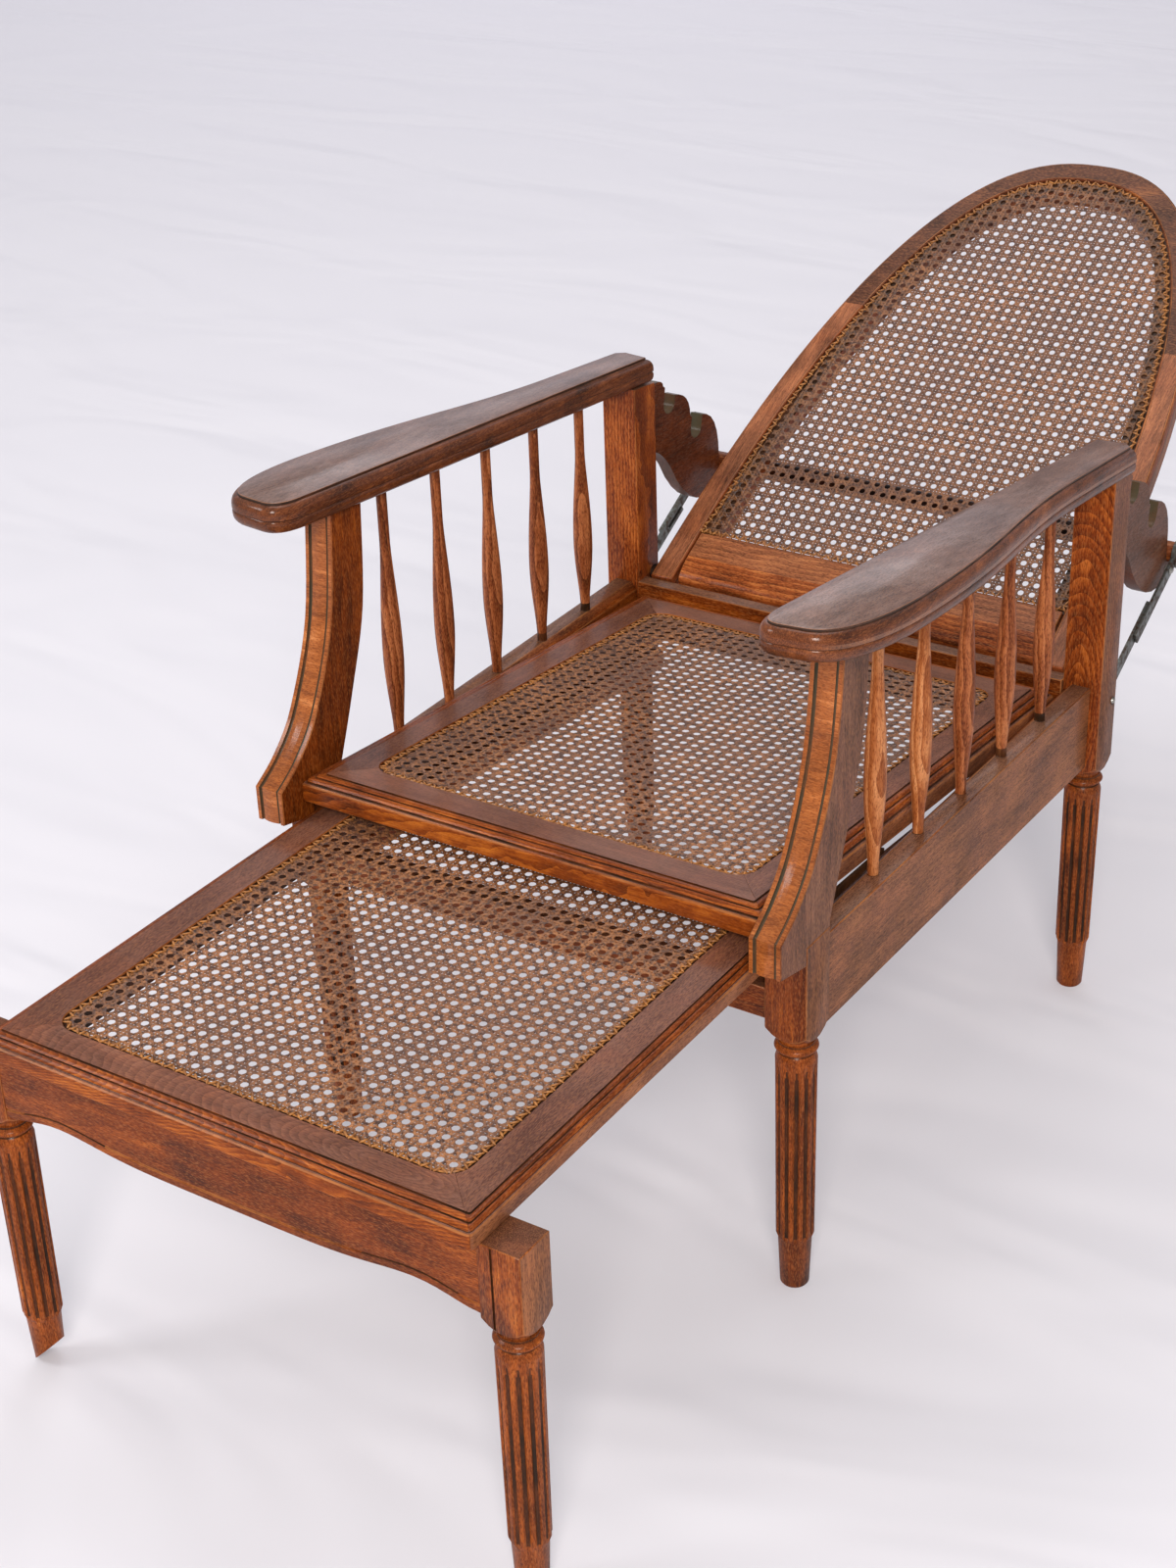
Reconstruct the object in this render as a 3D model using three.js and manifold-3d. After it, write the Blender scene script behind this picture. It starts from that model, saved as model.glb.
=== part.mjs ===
// Caned reclining lounge chair with a slide-out footrest, in millimetres, +Z up.
// The front faces -Y, x = 0 is the symmetry plane, and left and right are as seen from the front.
// The origin is at the middle of the footprint, on the floor.
import * as THREE from 'three';
import { mergeVertices } from 'three/addons/utils/BufferGeometryUtils.js';
import Module from 'manifold-3d';

const wasm = await Module();
wasm.setup();

// Clearances and cutting overruns
const fit_gap = 0.3;
const cut_over = 40;
const pin_play = 0.3;

// Facets of round pieces
const turned_sides = 16;
const pin_sides = 12;
const spindle_sides = 10;
const arc_steps = 6;
const arch_steps = 36;

// Square stock and side frames
const leg_square = 42;
const rear_post_outer_x = 300.5;
const rear_post_front_y = 250;
const front_leg_outer_x = 284.5;
const front_leg_front_y = -349;
const side_taper = 0.0156;
const rail_outer_x = 285.2;
const rail_thickness = 28;
const rail_bottom_z = 281.3;
const rail_top_z = 374.3;
const rail_bevel = 8;

// Block and foot heights of the legs
const front_block_bottom_z = 281;
const front_block_top_z = 385;
const rear_block_bottom_z = 272;
const passage_floor_z = 345;
const bracket_thickness = 32;

// Turned lower legs
const foot_radius = 13.5;
const foot_top_radius = 14.5;
const foot_height = 54;
const foot_step = 6;
const shaft_foot_radius = 17;
const shaft_top_radius = 19.2;
const ring_radius = 20.2;
const ring_height = 11;
const ring_drop = 9;
const neck_radius = 15.5;
const neck_height = 5;
const swell_height = 12;
const shoulder_height = 8;
const core_overlap = 6;

// Arms
const arm_top_z = 658.8;
const arm_fall = 0.0995;
const arm_thickness = 30;
const arm_nose = 7;
const arm_nose_depth = 8;
const arm_inner_x = 256.4;
const arm_inner_taper = 0.0277;
const arm_rear_y = 288;
const arm_front_y = -367;
const arm_front_round = 34;
const arm_tail_width = 36.6;
const arm_bow = 27;
const arm_bow_y = -235;

// Spindles
const spindle_count = 5;
const spindle_first_y = -193.2;
const spindle_pitch = 88.1;
const spindle_line_x = 270;
const spindle_end_radius = 5;
const spindle_bulge_radius = 10.5;
const spindle_bulge_share = 0.33;

// Arm brackets: named heights of the curve that runs from the arm to the toe
const bracket_neck_y = -287;
const bracket_neck_width = 45;
const bracket_waist_y = -301;
const bracket_waist_share = 0.563;
const bracket_waist_width = 50;
const bracket_knee_y = -334;
const bracket_knee_share = 0.236;
const bracket_knee_width = 57;
const toe_front_y = -395;
const toe_top_z = 412;
const toe_bottom_z = 377;
const toe_root_z = 367;

// Cross rails
const front_rail_front_y = -347;
const front_rail_depth = 22;
const front_rail_bottom_z = 298;
const front_rail_height = 32;
const rear_rail_front_y = 246;
const rear_rail_depth = 18;
const rear_rail_height = 65;
const rear_rail_top_z = 377;

// Seat frame, on a slope that falls to the rear
const seat_quirk_x = 233;
const seat_front_y = -350.6;
const seat_rear_y = 228;
const seat_front_z = 418.2;
const seat_fall = 0.084;
const seat_thickness = 27.5;
const seat_edge = 17.5;
const seat_cane_x = 206;
const seat_cane_front_y = -318;
const seat_cane_rear_y = 198;
const cane_corner = 22;

// Moulded edge of the seat and footrest frames: shares of the edge's width and of the frame's thickness
const edge_profile_shares = [
  [0, 0],
  [0.06, 0.1],
  [0.5, 0.12],
  [0.85, 0.3],
  [1, 0.52],
  [1, 1],
];
const frame_corner = 4;

// Footrest frame, level when it is pulled out
const rest_quirk_x = 239;
const rest_front_y = -785;
const rest_rear_y = -267;
const rest_top_z = 380.2;
const rest_thickness = 21;
const rest_edge = 12;
const rest_front_edge = 17;
const rest_cane_x = 208;
const rest_cane_front_y = -758;
const rest_cane_rear_y = -300;
const rest_leg_inner_x = 246;
const rest_leg_front_y = -790;
const rest_leg_square = 40;
const rest_block_bottom_z = 278;
const apron_front_y = -789;
const apron_depth = 22;
const apron_mid_z = 291;
const apron_rise = 9;

// Runners and shoes that carry the footrest
const runner_front_y = -300;
const runner_rear_y = 240;
const runner_inner_x = 222;
const runner_height = 20;
const shoe_y = -273;
const shoe_length = 32;
const shoe_height = 14;
const shoe_inner_x = 226;
const shoe_width = 22;
const shoe_crown = 1.6;

// Reclining back, built flat: x across, y up the back from the pivot, z towards the sitter
const back_pivot_y = 282.3;
const back_pivot_z = 375.1;
const back_lean_deg = 61.24;
const back_side_gap = 6.2;
const back_rise = 733.6;
const back_centre_below = 27.5;
const back_thickness = 26;
const back_stile_width = 27.6;
const back_crown_depth = 27.3;
const back_arch_power = 2.42;
const back_rail_top = 58;
const back_rail_below = 9;
const back_seam_inset = 30.3;
const crown_seam_share = 0.61;
const pivot_pin_radius = 4;
const pivot_collar_radius = 10;
const pivot_pin_depth = 14;

// Support bar, racks and stays, laid out from the pivot along the back's own axes
const bar_radius = 11.25;
const bar_overhang = 14.5;
const bar_up_back = 190.8;
const rack_inner_x = 270;
const rack_thickness = 16;
const rack_head_drop = 10.3;
const rack_foot_share = 0.472;
const rack_chin = 30;
const notch_width = 24;
const notch_place_shares = [[0.284, 0.778], [0.627, 0.444]];
const notch_tilt = 0.2;
const stay_thickness = 3;
const stay_rack_gap = 3;
const stay_pocket_height = 45;
const stay_half_width = 7;
const stay_eye_wall = 4.5;
const stay_eye_width = 5;
const stay_lower_reach = 128;
const stay_upper_from = 82;
const stay_slot_half = 2.5;
const stay_slot_from = 92;
const stay_slot_to = 124;
const rivet_radius = 2.5;
const rivet_head_radius = 5;
const rivet_head_height = 2.5;
const rivet_from_eye = 24;
const bolt_radius = 3;
const bolt_head_radius = 4.5;
const bolt_head_height = 3;
const bolt_depth = 16;
const bolt_inset = 8.5;

// Cane panels
const cane_thickness = 3;
const cane_strand = 8;
const cane_border = 10;
const seat_cane_cells = [9, 11];
const rest_cane_cells = [9, 10];
const back_cane_cells = [9, 13];

// Materials, with colours as they look in the photograph
const stained_wood = new THREE.MeshStandardMaterial({ color: 0x8a4a26, roughness: 0.42, metalness: 0 });
const aged_wood = new THREE.MeshStandardMaterial({ color: 0x7d6257, roughness: 0.4, metalness: 0 });
const golden_cane = new THREE.MeshStandardMaterial({ color: 0xa87a4a, roughness: 0.55, metalness: 0 });
const dark_steel = new THREE.MeshStandardMaterial({ color: 0x3c3f3e, roughness: 0.45, metalness: 0.9 });

// Copies a geometry with shared vertices merged and empty triangles left out.
function bare(geometry) {
  const copy = geometry.clone();
  copy.deleteAttribute('normal');
  copy.deleteAttribute('uv');
  const merged = mergeVertices(copy);
  const source = merged.index.array;
  const kept = [];
  for (let i = 0; i < source.length; i += 3) {
    const [a, b, c] = [source[i], source[i + 1], source[i + 2]];
    if (a !== b && b !== c && c !== a) kept.push(a, b, c);
  }
  merged.setIndex(kept);
  return merged;
}

// Signed volume of a closed geometry: negative when its faces point inwards.
function signedVolume(geometry) {
  const p = geometry.attributes.position;
  const index = geometry.index.array;
  const corners = [new THREE.Vector3(), new THREE.Vector3(), new THREE.Vector3()];
  let volume = 0;
  for (let i = 0; i < index.length; i += 3) {
    corners.forEach((corner, k) => corner.fromBufferAttribute(p, index[i + k]));
    volume += corners[0].dot(corners[1].cross(corners[2]));
  }
  return volume;
}

// Makes every face of a closed geometry point outwards.
function facingOut(geometry) {
  const closed = geometry.index ? geometry : bare(geometry);
  if (signedVolume(closed) < 0) closed.index.array.reverse();
  return closed;
}

// Turns a closed geometry into a solid that can be joined and cut.
function solid(geometry) {
  const closed = facingOut(bare(geometry));
  return new wasm.Manifold(new wasm.Mesh({
    numProp: 3,
    vertProperties: new Float32Array(closed.attributes.position.array),
    triVerts: new Uint32Array(closed.index.array),
  }));
}

// Turns a solid back into a geometry.
function geometryOf(body) {
  const { vertProperties, triVerts } = body.getMesh();
  const geometry = new THREE.BufferGeometry();
  geometry.setAttribute('position', new THREE.BufferAttribute(new Float32Array(vertProperties), 3));
  geometry.setIndex(new THREE.BufferAttribute(new Uint32Array(triVerts), 1));
  return geometry;
}

// Closed outline from [a, b] pairs.
function outline(points) {
  return new THREE.Shape(points.map(([a, b]) => new THREE.Vector2(a, b)));
}

// Extrudes a shape along one axis. The shape's own axes are the next two in x, y, z order.
function slab(shape, axis, from, to, bevel = null) {
  const settings = { depth: to - from, bevelEnabled: false, curveSegments: arc_steps };
  const geometry = new THREE.ExtrudeGeometry(shape, bevel ? { ...settings, ...bevel } : settings);
  geometry.translate(0, 0, from);
  const x = new THREE.Vector3(1, 0, 0);
  const y = new THREE.Vector3(0, 1, 0);
  const z = new THREE.Vector3(0, 0, 1);
  const bases = { x: [y, z, x], y: [z, x, y], z: [x, y, z] };
  return geometry.applyMatrix4(new THREE.Matrix4().makeBasis(...bases[axis]));
}

// Box between two corners.
function block([x0, y0, z0], [x1, y1, z1]) {
  const geometry = new THREE.BoxGeometry(x1 - x0, y1 - y0, z1 - z0);
  return geometry.translate((x0 + x1) / 2, (y0 + y1) / 2, (z0 + z1) / 2);
}

// Turned form on a vertical axis from [radius, height] pairs that start and end on the axis.
function turned(profile, sides) {
  const points = profile.map(([r, h]) => new THREE.Vector2(r, h));
  return new THREE.LatheGeometry(points, sides).rotateX(Math.PI / 2);
}

// Turned form on an axis along x, from [radius, x] pairs.
function turnedAcross(profile, sides, y, z) {
  return turned(profile, sides).rotateY(Math.PI / 2).translate(0, y, z);
}

// Leans a geometry so that one coordinate grows in step with another.
function sheared(geometry, moved, along, slope) {
  const axes = { x: 0, y: 1, z: 2 };
  const matrix = new THREE.Matrix4();
  matrix.elements[axes[along] * 4 + axes[moved]] = slope;
  return geometry.applyMatrix4(matrix);
}

// Mirror image on the other side of x = 0.
function mirrored(geometry) {
  const copy = bare(geometry).scale(-1, 1, 1);
  copy.index.array.reverse();
  return copy;
}

// Joins flat outlines of equal point counts, one above the other, into a closed form.
function stacked(rings) {
  const count = rings[0].length;
  const positions = rings.flat().flatMap(([x, y, z]) => [x, y, z]);
  const index = [];
  for (let r = 0; r + 1 < rings.length; r += 1) {
    for (let i = 0; i < count; i += 1) {
      const j = (i + 1) % count;
      const low = r * count;
      const high = low + count;
      index.push(low + i, low + j, high + j, low + i, high + j, high + i);
    }
  }
  const flat = rings[0].map(([x, y]) => new THREE.Vector2(x, y));
  const flatTop = rings.at(-1).map(([x, y]) => new THREE.Vector2(x, y));
  const last = (rings.length - 1) * count;
  THREE.ShapeUtils.triangulateShape(flat, []).forEach(([a, b, c]) => index.push(a, c, b));
  THREE.ShapeUtils.triangulateShape(flatTop, []).forEach(([a, b, c]) => {
    index.push(last + a, last + b, last + c);
  });
  const geometry = new THREE.BufferGeometry();
  geometry.setAttribute('position', new THREE.Float32BufferAttribute(positions, 3));
  geometry.setIndex(index);
  return facingOut(geometry);
}

// Points round a rectangle with rounded corners, anticlockwise from the front left.
function roundedPoints(x0, y0, x1, y1, radius) {
  const corners = [
    [x0 + radius, y0 + radius, Math.PI],
    [x1 - radius, y0 + radius, Math.PI * 1.5],
    [x1 - radius, y1 - radius, 0],
    [x0 + radius, y1 - radius, Math.PI / 2],
  ];
  return corners.flatMap(([cx, cy, start]) => Array.from({ length: arc_steps + 1 }, (_, i) => {
    const angle = start + (i / arc_steps) * (Math.PI / 2);
    return [cx + radius * Math.cos(angle), cy + radius * Math.sin(angle)];
  }));
}

const chair = new THREE.Group();
const back = new THREE.Group();

function add(name, geometry, material, group = chair) {
  const mesh = new THREE.Mesh(facingOut(geometry), material);
  mesh.name = name;
  group.add(mesh);
}

// Adds the piece at the right and its mirror image at the left.
function addPair(name, geometry, material, group = chair) {
  add(`${name}_right`, geometry, material, group);
  add(`${name}_left`, mirrored(geometry), material, group);
}

// Turned lower leg from the floor up into its block, with the block's corners turned away below.
function turnedLeg(blockBottom) {
  const ringTop = blockBottom - ring_drop;
  const ringBottom = ringTop - ring_height;
  const shaftTop = ringBottom - neck_height - swell_height;
  const profile = [
    [0, 0],
    [foot_radius, 0],
    [foot_top_radius, foot_height],
    [shaft_foot_radius, foot_height + foot_step],
    [shaft_top_radius, shaftTop],
    [shaft_top_radius, shaftTop + swell_height / 2],
    [neck_radius, ringBottom - neck_height],
    [neck_radius, ringBottom],
    [ring_radius, ringBottom + ring_height / 4],
    [ring_radius, ringTop - ring_height / 4],
    [neck_radius, ringTop],
    [neck_radius, blockBottom + core_overlap],
    [0, blockBottom + core_overlap],
  ];
  return turned(profile, turned_sides);
}

// Square block whose lower corners are turned to a round shoulder.
function legBlock(square, bottom, top) {
  const half = square / 2;
  const corner = half * Math.SQRT2 + fit_gap;
  const reach = corner / Math.cos(Math.PI / turned_sides);
  const cone = turned([
    [0, bottom],
    [half, bottom],
    [reach, bottom + shoulder_height],
    [reach, top],
    [0, top],
  ], turned_sides);
  return solid(block([-half, -half, bottom], [half, half, top])).intersect(solid(cone));
}

function wholeLeg(square, blockBottom, blockTop) {
  return legBlock(square, blockBottom, blockTop).add(solid(turnedLeg(blockBottom)));
}

// Height of the arms' underside at a given y.
function underArm(y) {
  return arm_top_z - arm_fall * y - arm_thickness;
}

function buildFrontLegs() {
  const leg = geometryOf(wholeLeg(leg_square, front_block_bottom_z, front_block_top_z));
  leg.translate(front_leg_outer_x - leg_square / 2, front_leg_front_y + leg_square / 2, 0);
  const passage = block(
    [front_leg_outer_x - leg_square - cut_over, front_leg_front_y - cut_over, passage_floor_z],
    [front_leg_outer_x - bracket_thickness, front_leg_front_y + leg_square + cut_over, front_block_top_z + cut_over],
  );
  addPair('leg_front', geometryOf(solid(leg).subtract(solid(passage))), stained_wood);
}

// Bore along x for a pin or bolt.
function bore(radius, from, to, y, z, sides = pin_sides) {
  return solid(turnedAcross([[0, from], [radius, from], [radius, to], [0, to]], sides, y, z));
}

const lean = THREE.MathUtils.degToRad(back_lean_deg);
const up_back = { y: Math.sin(lean), z: Math.cos(lean) };
const off_back = { y: -Math.cos(lean), z: Math.sin(lean) };

// Place in the side view at given distances up the back and off it, from the pivot.
function onBack(up, off) {
  return [
    back_pivot_y + up * up_back.y + off * off_back.y,
    back_pivot_z + up * up_back.z + off * off_back.z,
  ];
}

const bar_off_back = -(back_thickness / 2 + fit_gap + bar_radius);
const [bar_y, bar_z] = onBack(bar_up_back, bar_off_back);
const rear_post_rear_y = rear_post_front_y + leg_square;
const stay_length = (bar_y - rear_post_rear_y + bolt_inset) / up_back.y;
const [bolt_y, bolt_z] = onBack(bar_up_back - stay_length, bar_off_back);
const bar_half_length = rear_post_outer_x + bar_overhang;
const rear_post_inner_x = rear_post_outer_x - leg_square;
const back_half_width = rear_post_inner_x - back_side_gap;
const back_opening_half = back_half_width - back_stile_width;
const back_opening_rise = back_rise - back_crown_depth;
const back_seam_x = back_half_width - back_seam_inset;
const crown_seam = (back_rise - back_centre_below) * crown_seam_share;

function buildRearLegs() {
  const tall = underArm(rear_post_front_y) + cut_over;
  const leg = geometryOf(wholeLeg(leg_square, rear_block_bottom_z, tall));
  leg.translate(rear_post_outer_x - leg_square / 2, rear_post_front_y + leg_square / 2, 0);
  const above = slab(outline([
    [rear_post_front_y - cut_over, underArm(rear_post_front_y - cut_over) - fit_gap],
    [rear_post_rear_y + cut_over, underArm(rear_post_rear_y + cut_over) - fit_gap],
    [rear_post_rear_y + cut_over, tall + cut_over],
    [rear_post_front_y - cut_over, tall + cut_over],
  ]), 'x', 0, rear_post_outer_x + cut_over);
  const pivotBore = bore(
    pivot_pin_radius + pin_play,
    rear_post_inner_x - cut_over,
    rear_post_inner_x + pivot_pin_depth + fit_gap,
    back_pivot_y,
    back_pivot_z,
  );
  const boltBore = bore(
    bolt_radius + pin_play,
    rear_post_outer_x - bolt_depth - fit_gap,
    rear_post_outer_x + cut_over,
    bolt_y,
    bolt_z,
  );
  const pocket = solid(block(
    [stay_inner_x - fit_gap, bolt_y - stay_half_width - fit_gap, bolt_z - stay_half_width - stay_rack_gap],
    [stay_inner_x + stay_thickness + fit_gap, rear_post_rear_y + cut_over, bolt_z + stay_pocket_height],
  ));
  const post = solid(leg).subtract(solid(above)).subtract(pivotBore).subtract(boltBore).subtract(pocket);
  addPair('leg_rear', geometryOf(post), stained_wood);
}

// Plan outline of the right arm's flat top, with a straight inner side and a bowed outer side.
function armShape() {
  const innerAt = (y) => arm_inner_x + arm_inner_taper * y;
  const start_y = arm_front_y + arm_front_round;
  const tail_x = innerAt(arm_rear_y) + arm_tail_width;
  const bow_x = tail_x + arm_bow;
  const shape = new THREE.Shape();
  shape.moveTo(innerAt(arm_rear_y), arm_rear_y);
  shape.lineTo(innerAt(start_y), start_y);
  shape.quadraticCurveTo(innerAt(arm_front_y), arm_front_y, innerAt(arm_front_y) + arm_front_round / 2, arm_front_y);
  shape.lineTo(bow_x - arm_front_round - arm_nose, arm_front_y + arm_nose / 2);
  shape.bezierCurveTo(
    bow_x - arm_front_round / 3, arm_front_y + arm_nose,
    bow_x, arm_bow_y - arm_front_round * 2,
    bow_x, arm_bow_y,
  );
  shape.bezierCurveTo(
    bow_x, arm_bow_y / 4,
    tail_x, 0,
    tail_x, arm_rear_y / 2,
  );
  shape.lineTo(tail_x, arm_rear_y - arm_nose);
  shape.lineTo(tail_x - arm_nose, arm_rear_y);
  return shape;
}

function buildArms() {
  const bevel = {
    bevelEnabled: true,
    bevelThickness: arm_nose_depth,
    bevelSize: arm_nose,
    bevelSegments: 2,
    curveSegments: arc_steps * 2,
  };
  const top = arm_top_z;
  const geometry = slab(armShape(), 'z', top - arm_thickness + arm_nose_depth, top - arm_nose_depth, bevel);
  addPair('arm', sheared(geometry, 'z', 'y', -arm_fall), aged_wood);
}

// Smooth line through [y, z] knots.
function smooth(knots) {
  const curve = new THREE.CatmullRomCurve3(knots.map(([y, z]) => new THREE.Vector3(y, z, 0)));
  return curve.getPoints(arc_steps * 2).map((p) => [p.x, p.y]);
}

// S-curved bracket from the arm down to a toe that laps the front leg's block.
function buildBrackets() {
  const top_front = [bracket_neck_y, underArm(bracket_neck_y) - fit_gap];
  const neck_rear_y = bracket_neck_y + bracket_neck_width;
  const top_rear = [neck_rear_y, underArm(neck_rear_y) - fit_gap];
  const leg_rear_y = front_leg_front_y + leg_square;
  const tall = top_front[1] - toe_top_z;
  const waist_z = toe_top_z + tall * bracket_waist_share;
  const knee_z = toe_top_z + tall * bracket_knee_share;
  const toe_mid_y = (toe_front_y + bracket_knee_y) / 2;
  const toe_mid_z = (toe_top_z + knee_z) / 2 - rail_bevel;
  const front = smooth([
    top_front,
    [bracket_waist_y, waist_z],
    [bracket_knee_y, knee_z],
    [toe_mid_y, toe_mid_z],
    [toe_front_y, toe_top_z],
  ]);
  const rest_z = front_block_top_z + fit_gap;
  const rear = smooth([
    [leg_rear_y, rest_z + rail_bevel],
    [bracket_knee_y + bracket_knee_width, knee_z],
    [bracket_waist_y + bracket_waist_width, waist_z],
    top_rear,
  ]);
  const points = [
    ...front,
    [toe_front_y, toe_bottom_z],
    [front_leg_front_y - fit_gap, toe_root_z],
    [front_leg_front_y - fit_gap, rest_z],
    [leg_rear_y, rest_z],
    ...rear,
  ];
  const inner = front_leg_outer_x - bracket_thickness;
  addPair('arm_bracket', slab(outline(points), 'x', inner, front_leg_outer_x), aged_wood);
}

// Slim turned spindle between the side rail and the arm.
function buildSpindles() {
  const base = rail_top_z + fit_gap;
  for (let k = 0; k < spindle_count; k += 1) {
    const y = spindle_first_y + spindle_pitch * k;
    const top = underArm(y + spindle_end_radius) - fit_gap;
    const tall = top - base;
    const bulge = base + tall * spindle_bulge_share;
    const spread = (tall * spindle_bulge_share) / 2;
    const waist = (spindle_end_radius + spindle_bulge_radius) / 2;
    const profile = [
      [0, base],
      [spindle_end_radius, base],
      [waist, bulge - spread],
      [spindle_bulge_radius, bulge],
      [waist, bulge + spread],
      [spindle_end_radius, bulge + spread * 2.4],
      [spindle_end_radius, top],
      [0, top],
    ];
    const spindle = turned(profile, spindle_sides);
    spindle.translate(spindle_line_x + side_taper * y, y, 0);
    addPair(`spindle_${k + 1}`, spindle, stained_wood);
  }
}

function buildSideRails() {
  const inner = rail_outer_x - rail_thickness;
  const section = outline([
    [rail_bottom_z, inner],
    [rail_bottom_z, rail_outer_x],
    [rail_top_z, rail_outer_x],
    [rail_top_z, inner + rail_bevel],
    [rail_top_z - rail_bevel, inner],
  ]);
  const from = front_leg_front_y + leg_square + fit_gap;
  const rail = slab(section, 'y', from, rear_post_front_y - fit_gap);
  addPair('side_rail', sheared(rail, 'x', 'y', side_taper), stained_wood);
}

function buildCrossRails() {
  const front_half = front_leg_outer_x - leg_square - fit_gap;
  add('front_cross_rail', block(
    [-front_half, front_rail_front_y, front_rail_bottom_z],
    [front_half, front_rail_front_y + front_rail_depth, front_rail_bottom_z + front_rail_height],
  ), stained_wood);
  const rear_half = rear_post_inner_x - fit_gap;
  add('rear_cross_rail', block(
    [-rear_half, rear_rail_front_y, rear_rail_top_z - rear_rail_height],
    [rear_half, rear_rail_front_y + rear_rail_depth, rear_rail_top_z],
  ), stained_wood);
}

// Caned frame's blank: a flat board with a moulded edge, from its top at height 0 downwards.
function mouldedBoard({ half, front, rear, edge, frontEdge, rearEdge, thickness }) {
  return stacked(edge_profile_shares.map(([out, down]) => roundedPoints(
    -half - edge * out,
    front - frontEdge * out,
    half + edge * out,
    rear + rearEdge * out,
    frame_corner + (edge * out) / 2,
  ).map(([x, y]) => [x, y, -thickness * down])));
}

// Cuts a framed board into two side members, a front member and a rear member.
function frameMembers(board, opening, half, front, rear, thickness) {
  const hole = slab(outline(opening), 'z', -thickness - cut_over, cut_over);
  const ring = solid(board).subtract(solid(hole));
  const deep = -thickness - cut_over;
  const far = half + cut_over * 2;
  const gap = fit_gap / 2;
  const middle = (front + rear) / 2;
  const before = front - cut_over * 3;
  const behind = rear + cut_over * 3;
  const piece = (from, to) => geometryOf(ring.intersect(solid(block(from, to))));
  return {
    side: piece([half + gap, before, deep], [far, behind, cut_over]),
    front: piece([-half + gap, before, deep], [half - gap, middle, cut_over]),
    rear: piece([-half + gap, middle, deep], [half - gap, behind, cut_over]),
  };
}

// Flat net of cane: a thin panel with a grid of square gaps, kept inside a given outline.
function caneNet(panel, [across, along], x0, y0, x1, y1, inside, top) {
  let net = solid(slab(outline(panel), 'z', top - cane_thickness, top));
  const pitch_x = (x1 - x0) / across;
  const pitch_y = (y1 - y0) / along;
  const edge = cane_strand / 2;
  for (let i = 0; i < across; i += 1) {
    for (let j = 0; j < along; j += 1) {
      const [left, right] = [x0 + pitch_x * i + edge, x0 + pitch_x * (i + 1) - edge];
      const [low, high] = [y0 + pitch_y * j + edge, y0 + pitch_y * (j + 1) - edge];
      const corners = [[left, low], [left, high], [right, high], [right, low]];
      if (corners.every(([x, y]) => inside(x, y))) {
        net = net.subtract(solid(block([left, low, top - cut_over], [right, high, top + cut_over])));
      }
    }
  }
  return geometryOf(net);
}

// Rectangular cane panel in an opening with rounded corners.
function rectangularCane(half, front, rear, cells) {
  const panel = roundedPoints(
    -half + fit_gap, front + fit_gap, half - fit_gap, rear - fit_gap, cane_corner - fit_gap,
  );
  const border = cane_border;
  return caneNet(
    panel, cells, -half + border, front + border, half - border, rear - border, () => true, 0,
  );
}

function buildSeat() {
  const outer_gap = front_leg_outer_x - bracket_thickness - fit_gap - seat_quirk_x;
  const rear_gap = rear_rail_front_y - fit_gap - seat_rear_y;
  const board = mouldedBoard({
    half: seat_quirk_x,
    front: seat_front_y,
    rear: seat_rear_y,
    edge: outer_gap,
    frontEdge: seat_edge,
    rearEdge: rear_gap,
    thickness: seat_thickness,
  });
  const opening = roundedPoints(
    -seat_cane_x, seat_cane_front_y, seat_cane_x, seat_cane_rear_y, cane_corner,
  );
  const members = frameMembers(board, opening, seat_cane_x, seat_front_y, seat_rear_y, seat_thickness);
  const placed = (geometry) => sheared(geometry, 'z', 'y', -seat_fall)
    .translate(0, 0, seat_front_z + seat_fall * seat_front_y);
  addPair('seat_side', placed(members.side), aged_wood);
  add('seat_front', placed(members.front), aged_wood);
  add('seat_rear', placed(members.rear), aged_wood);
  const cane = rectangularCane(seat_cane_x, seat_cane_front_y, seat_cane_rear_y, seat_cane_cells);
  add('seat_cane', placed(cane), golden_cane);
}

const footrest = new THREE.Group();
chair.add(footrest);

function buildFootrestFrame() {
  const board = mouldedBoard({
    half: rest_quirk_x,
    front: rest_front_y,
    rear: rest_rear_y,
    edge: rest_edge,
    frontEdge: rest_front_edge,
    rearEdge: rest_edge,
    thickness: rest_thickness,
  });
  const opening = roundedPoints(
    -rest_cane_x, rest_cane_front_y, rest_cane_x, rest_cane_rear_y, cane_corner,
  );
  const members = frameMembers(board, opening, rest_cane_x, rest_front_y, rest_rear_y, rest_thickness);
  const placed = (geometry) => geometry.translate(0, 0, rest_top_z);
  addPair('footrest_side', placed(members.side), aged_wood, footrest);
  add('footrest_front', placed(members.front), aged_wood, footrest);
  add('footrest_rear', placed(members.rear), aged_wood, footrest);
  const cane = rectangularCane(rest_cane_x, rest_cane_front_y, rest_cane_rear_y, rest_cane_cells);
  add('footrest_cane', placed(cane), golden_cane, footrest);
}

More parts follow.
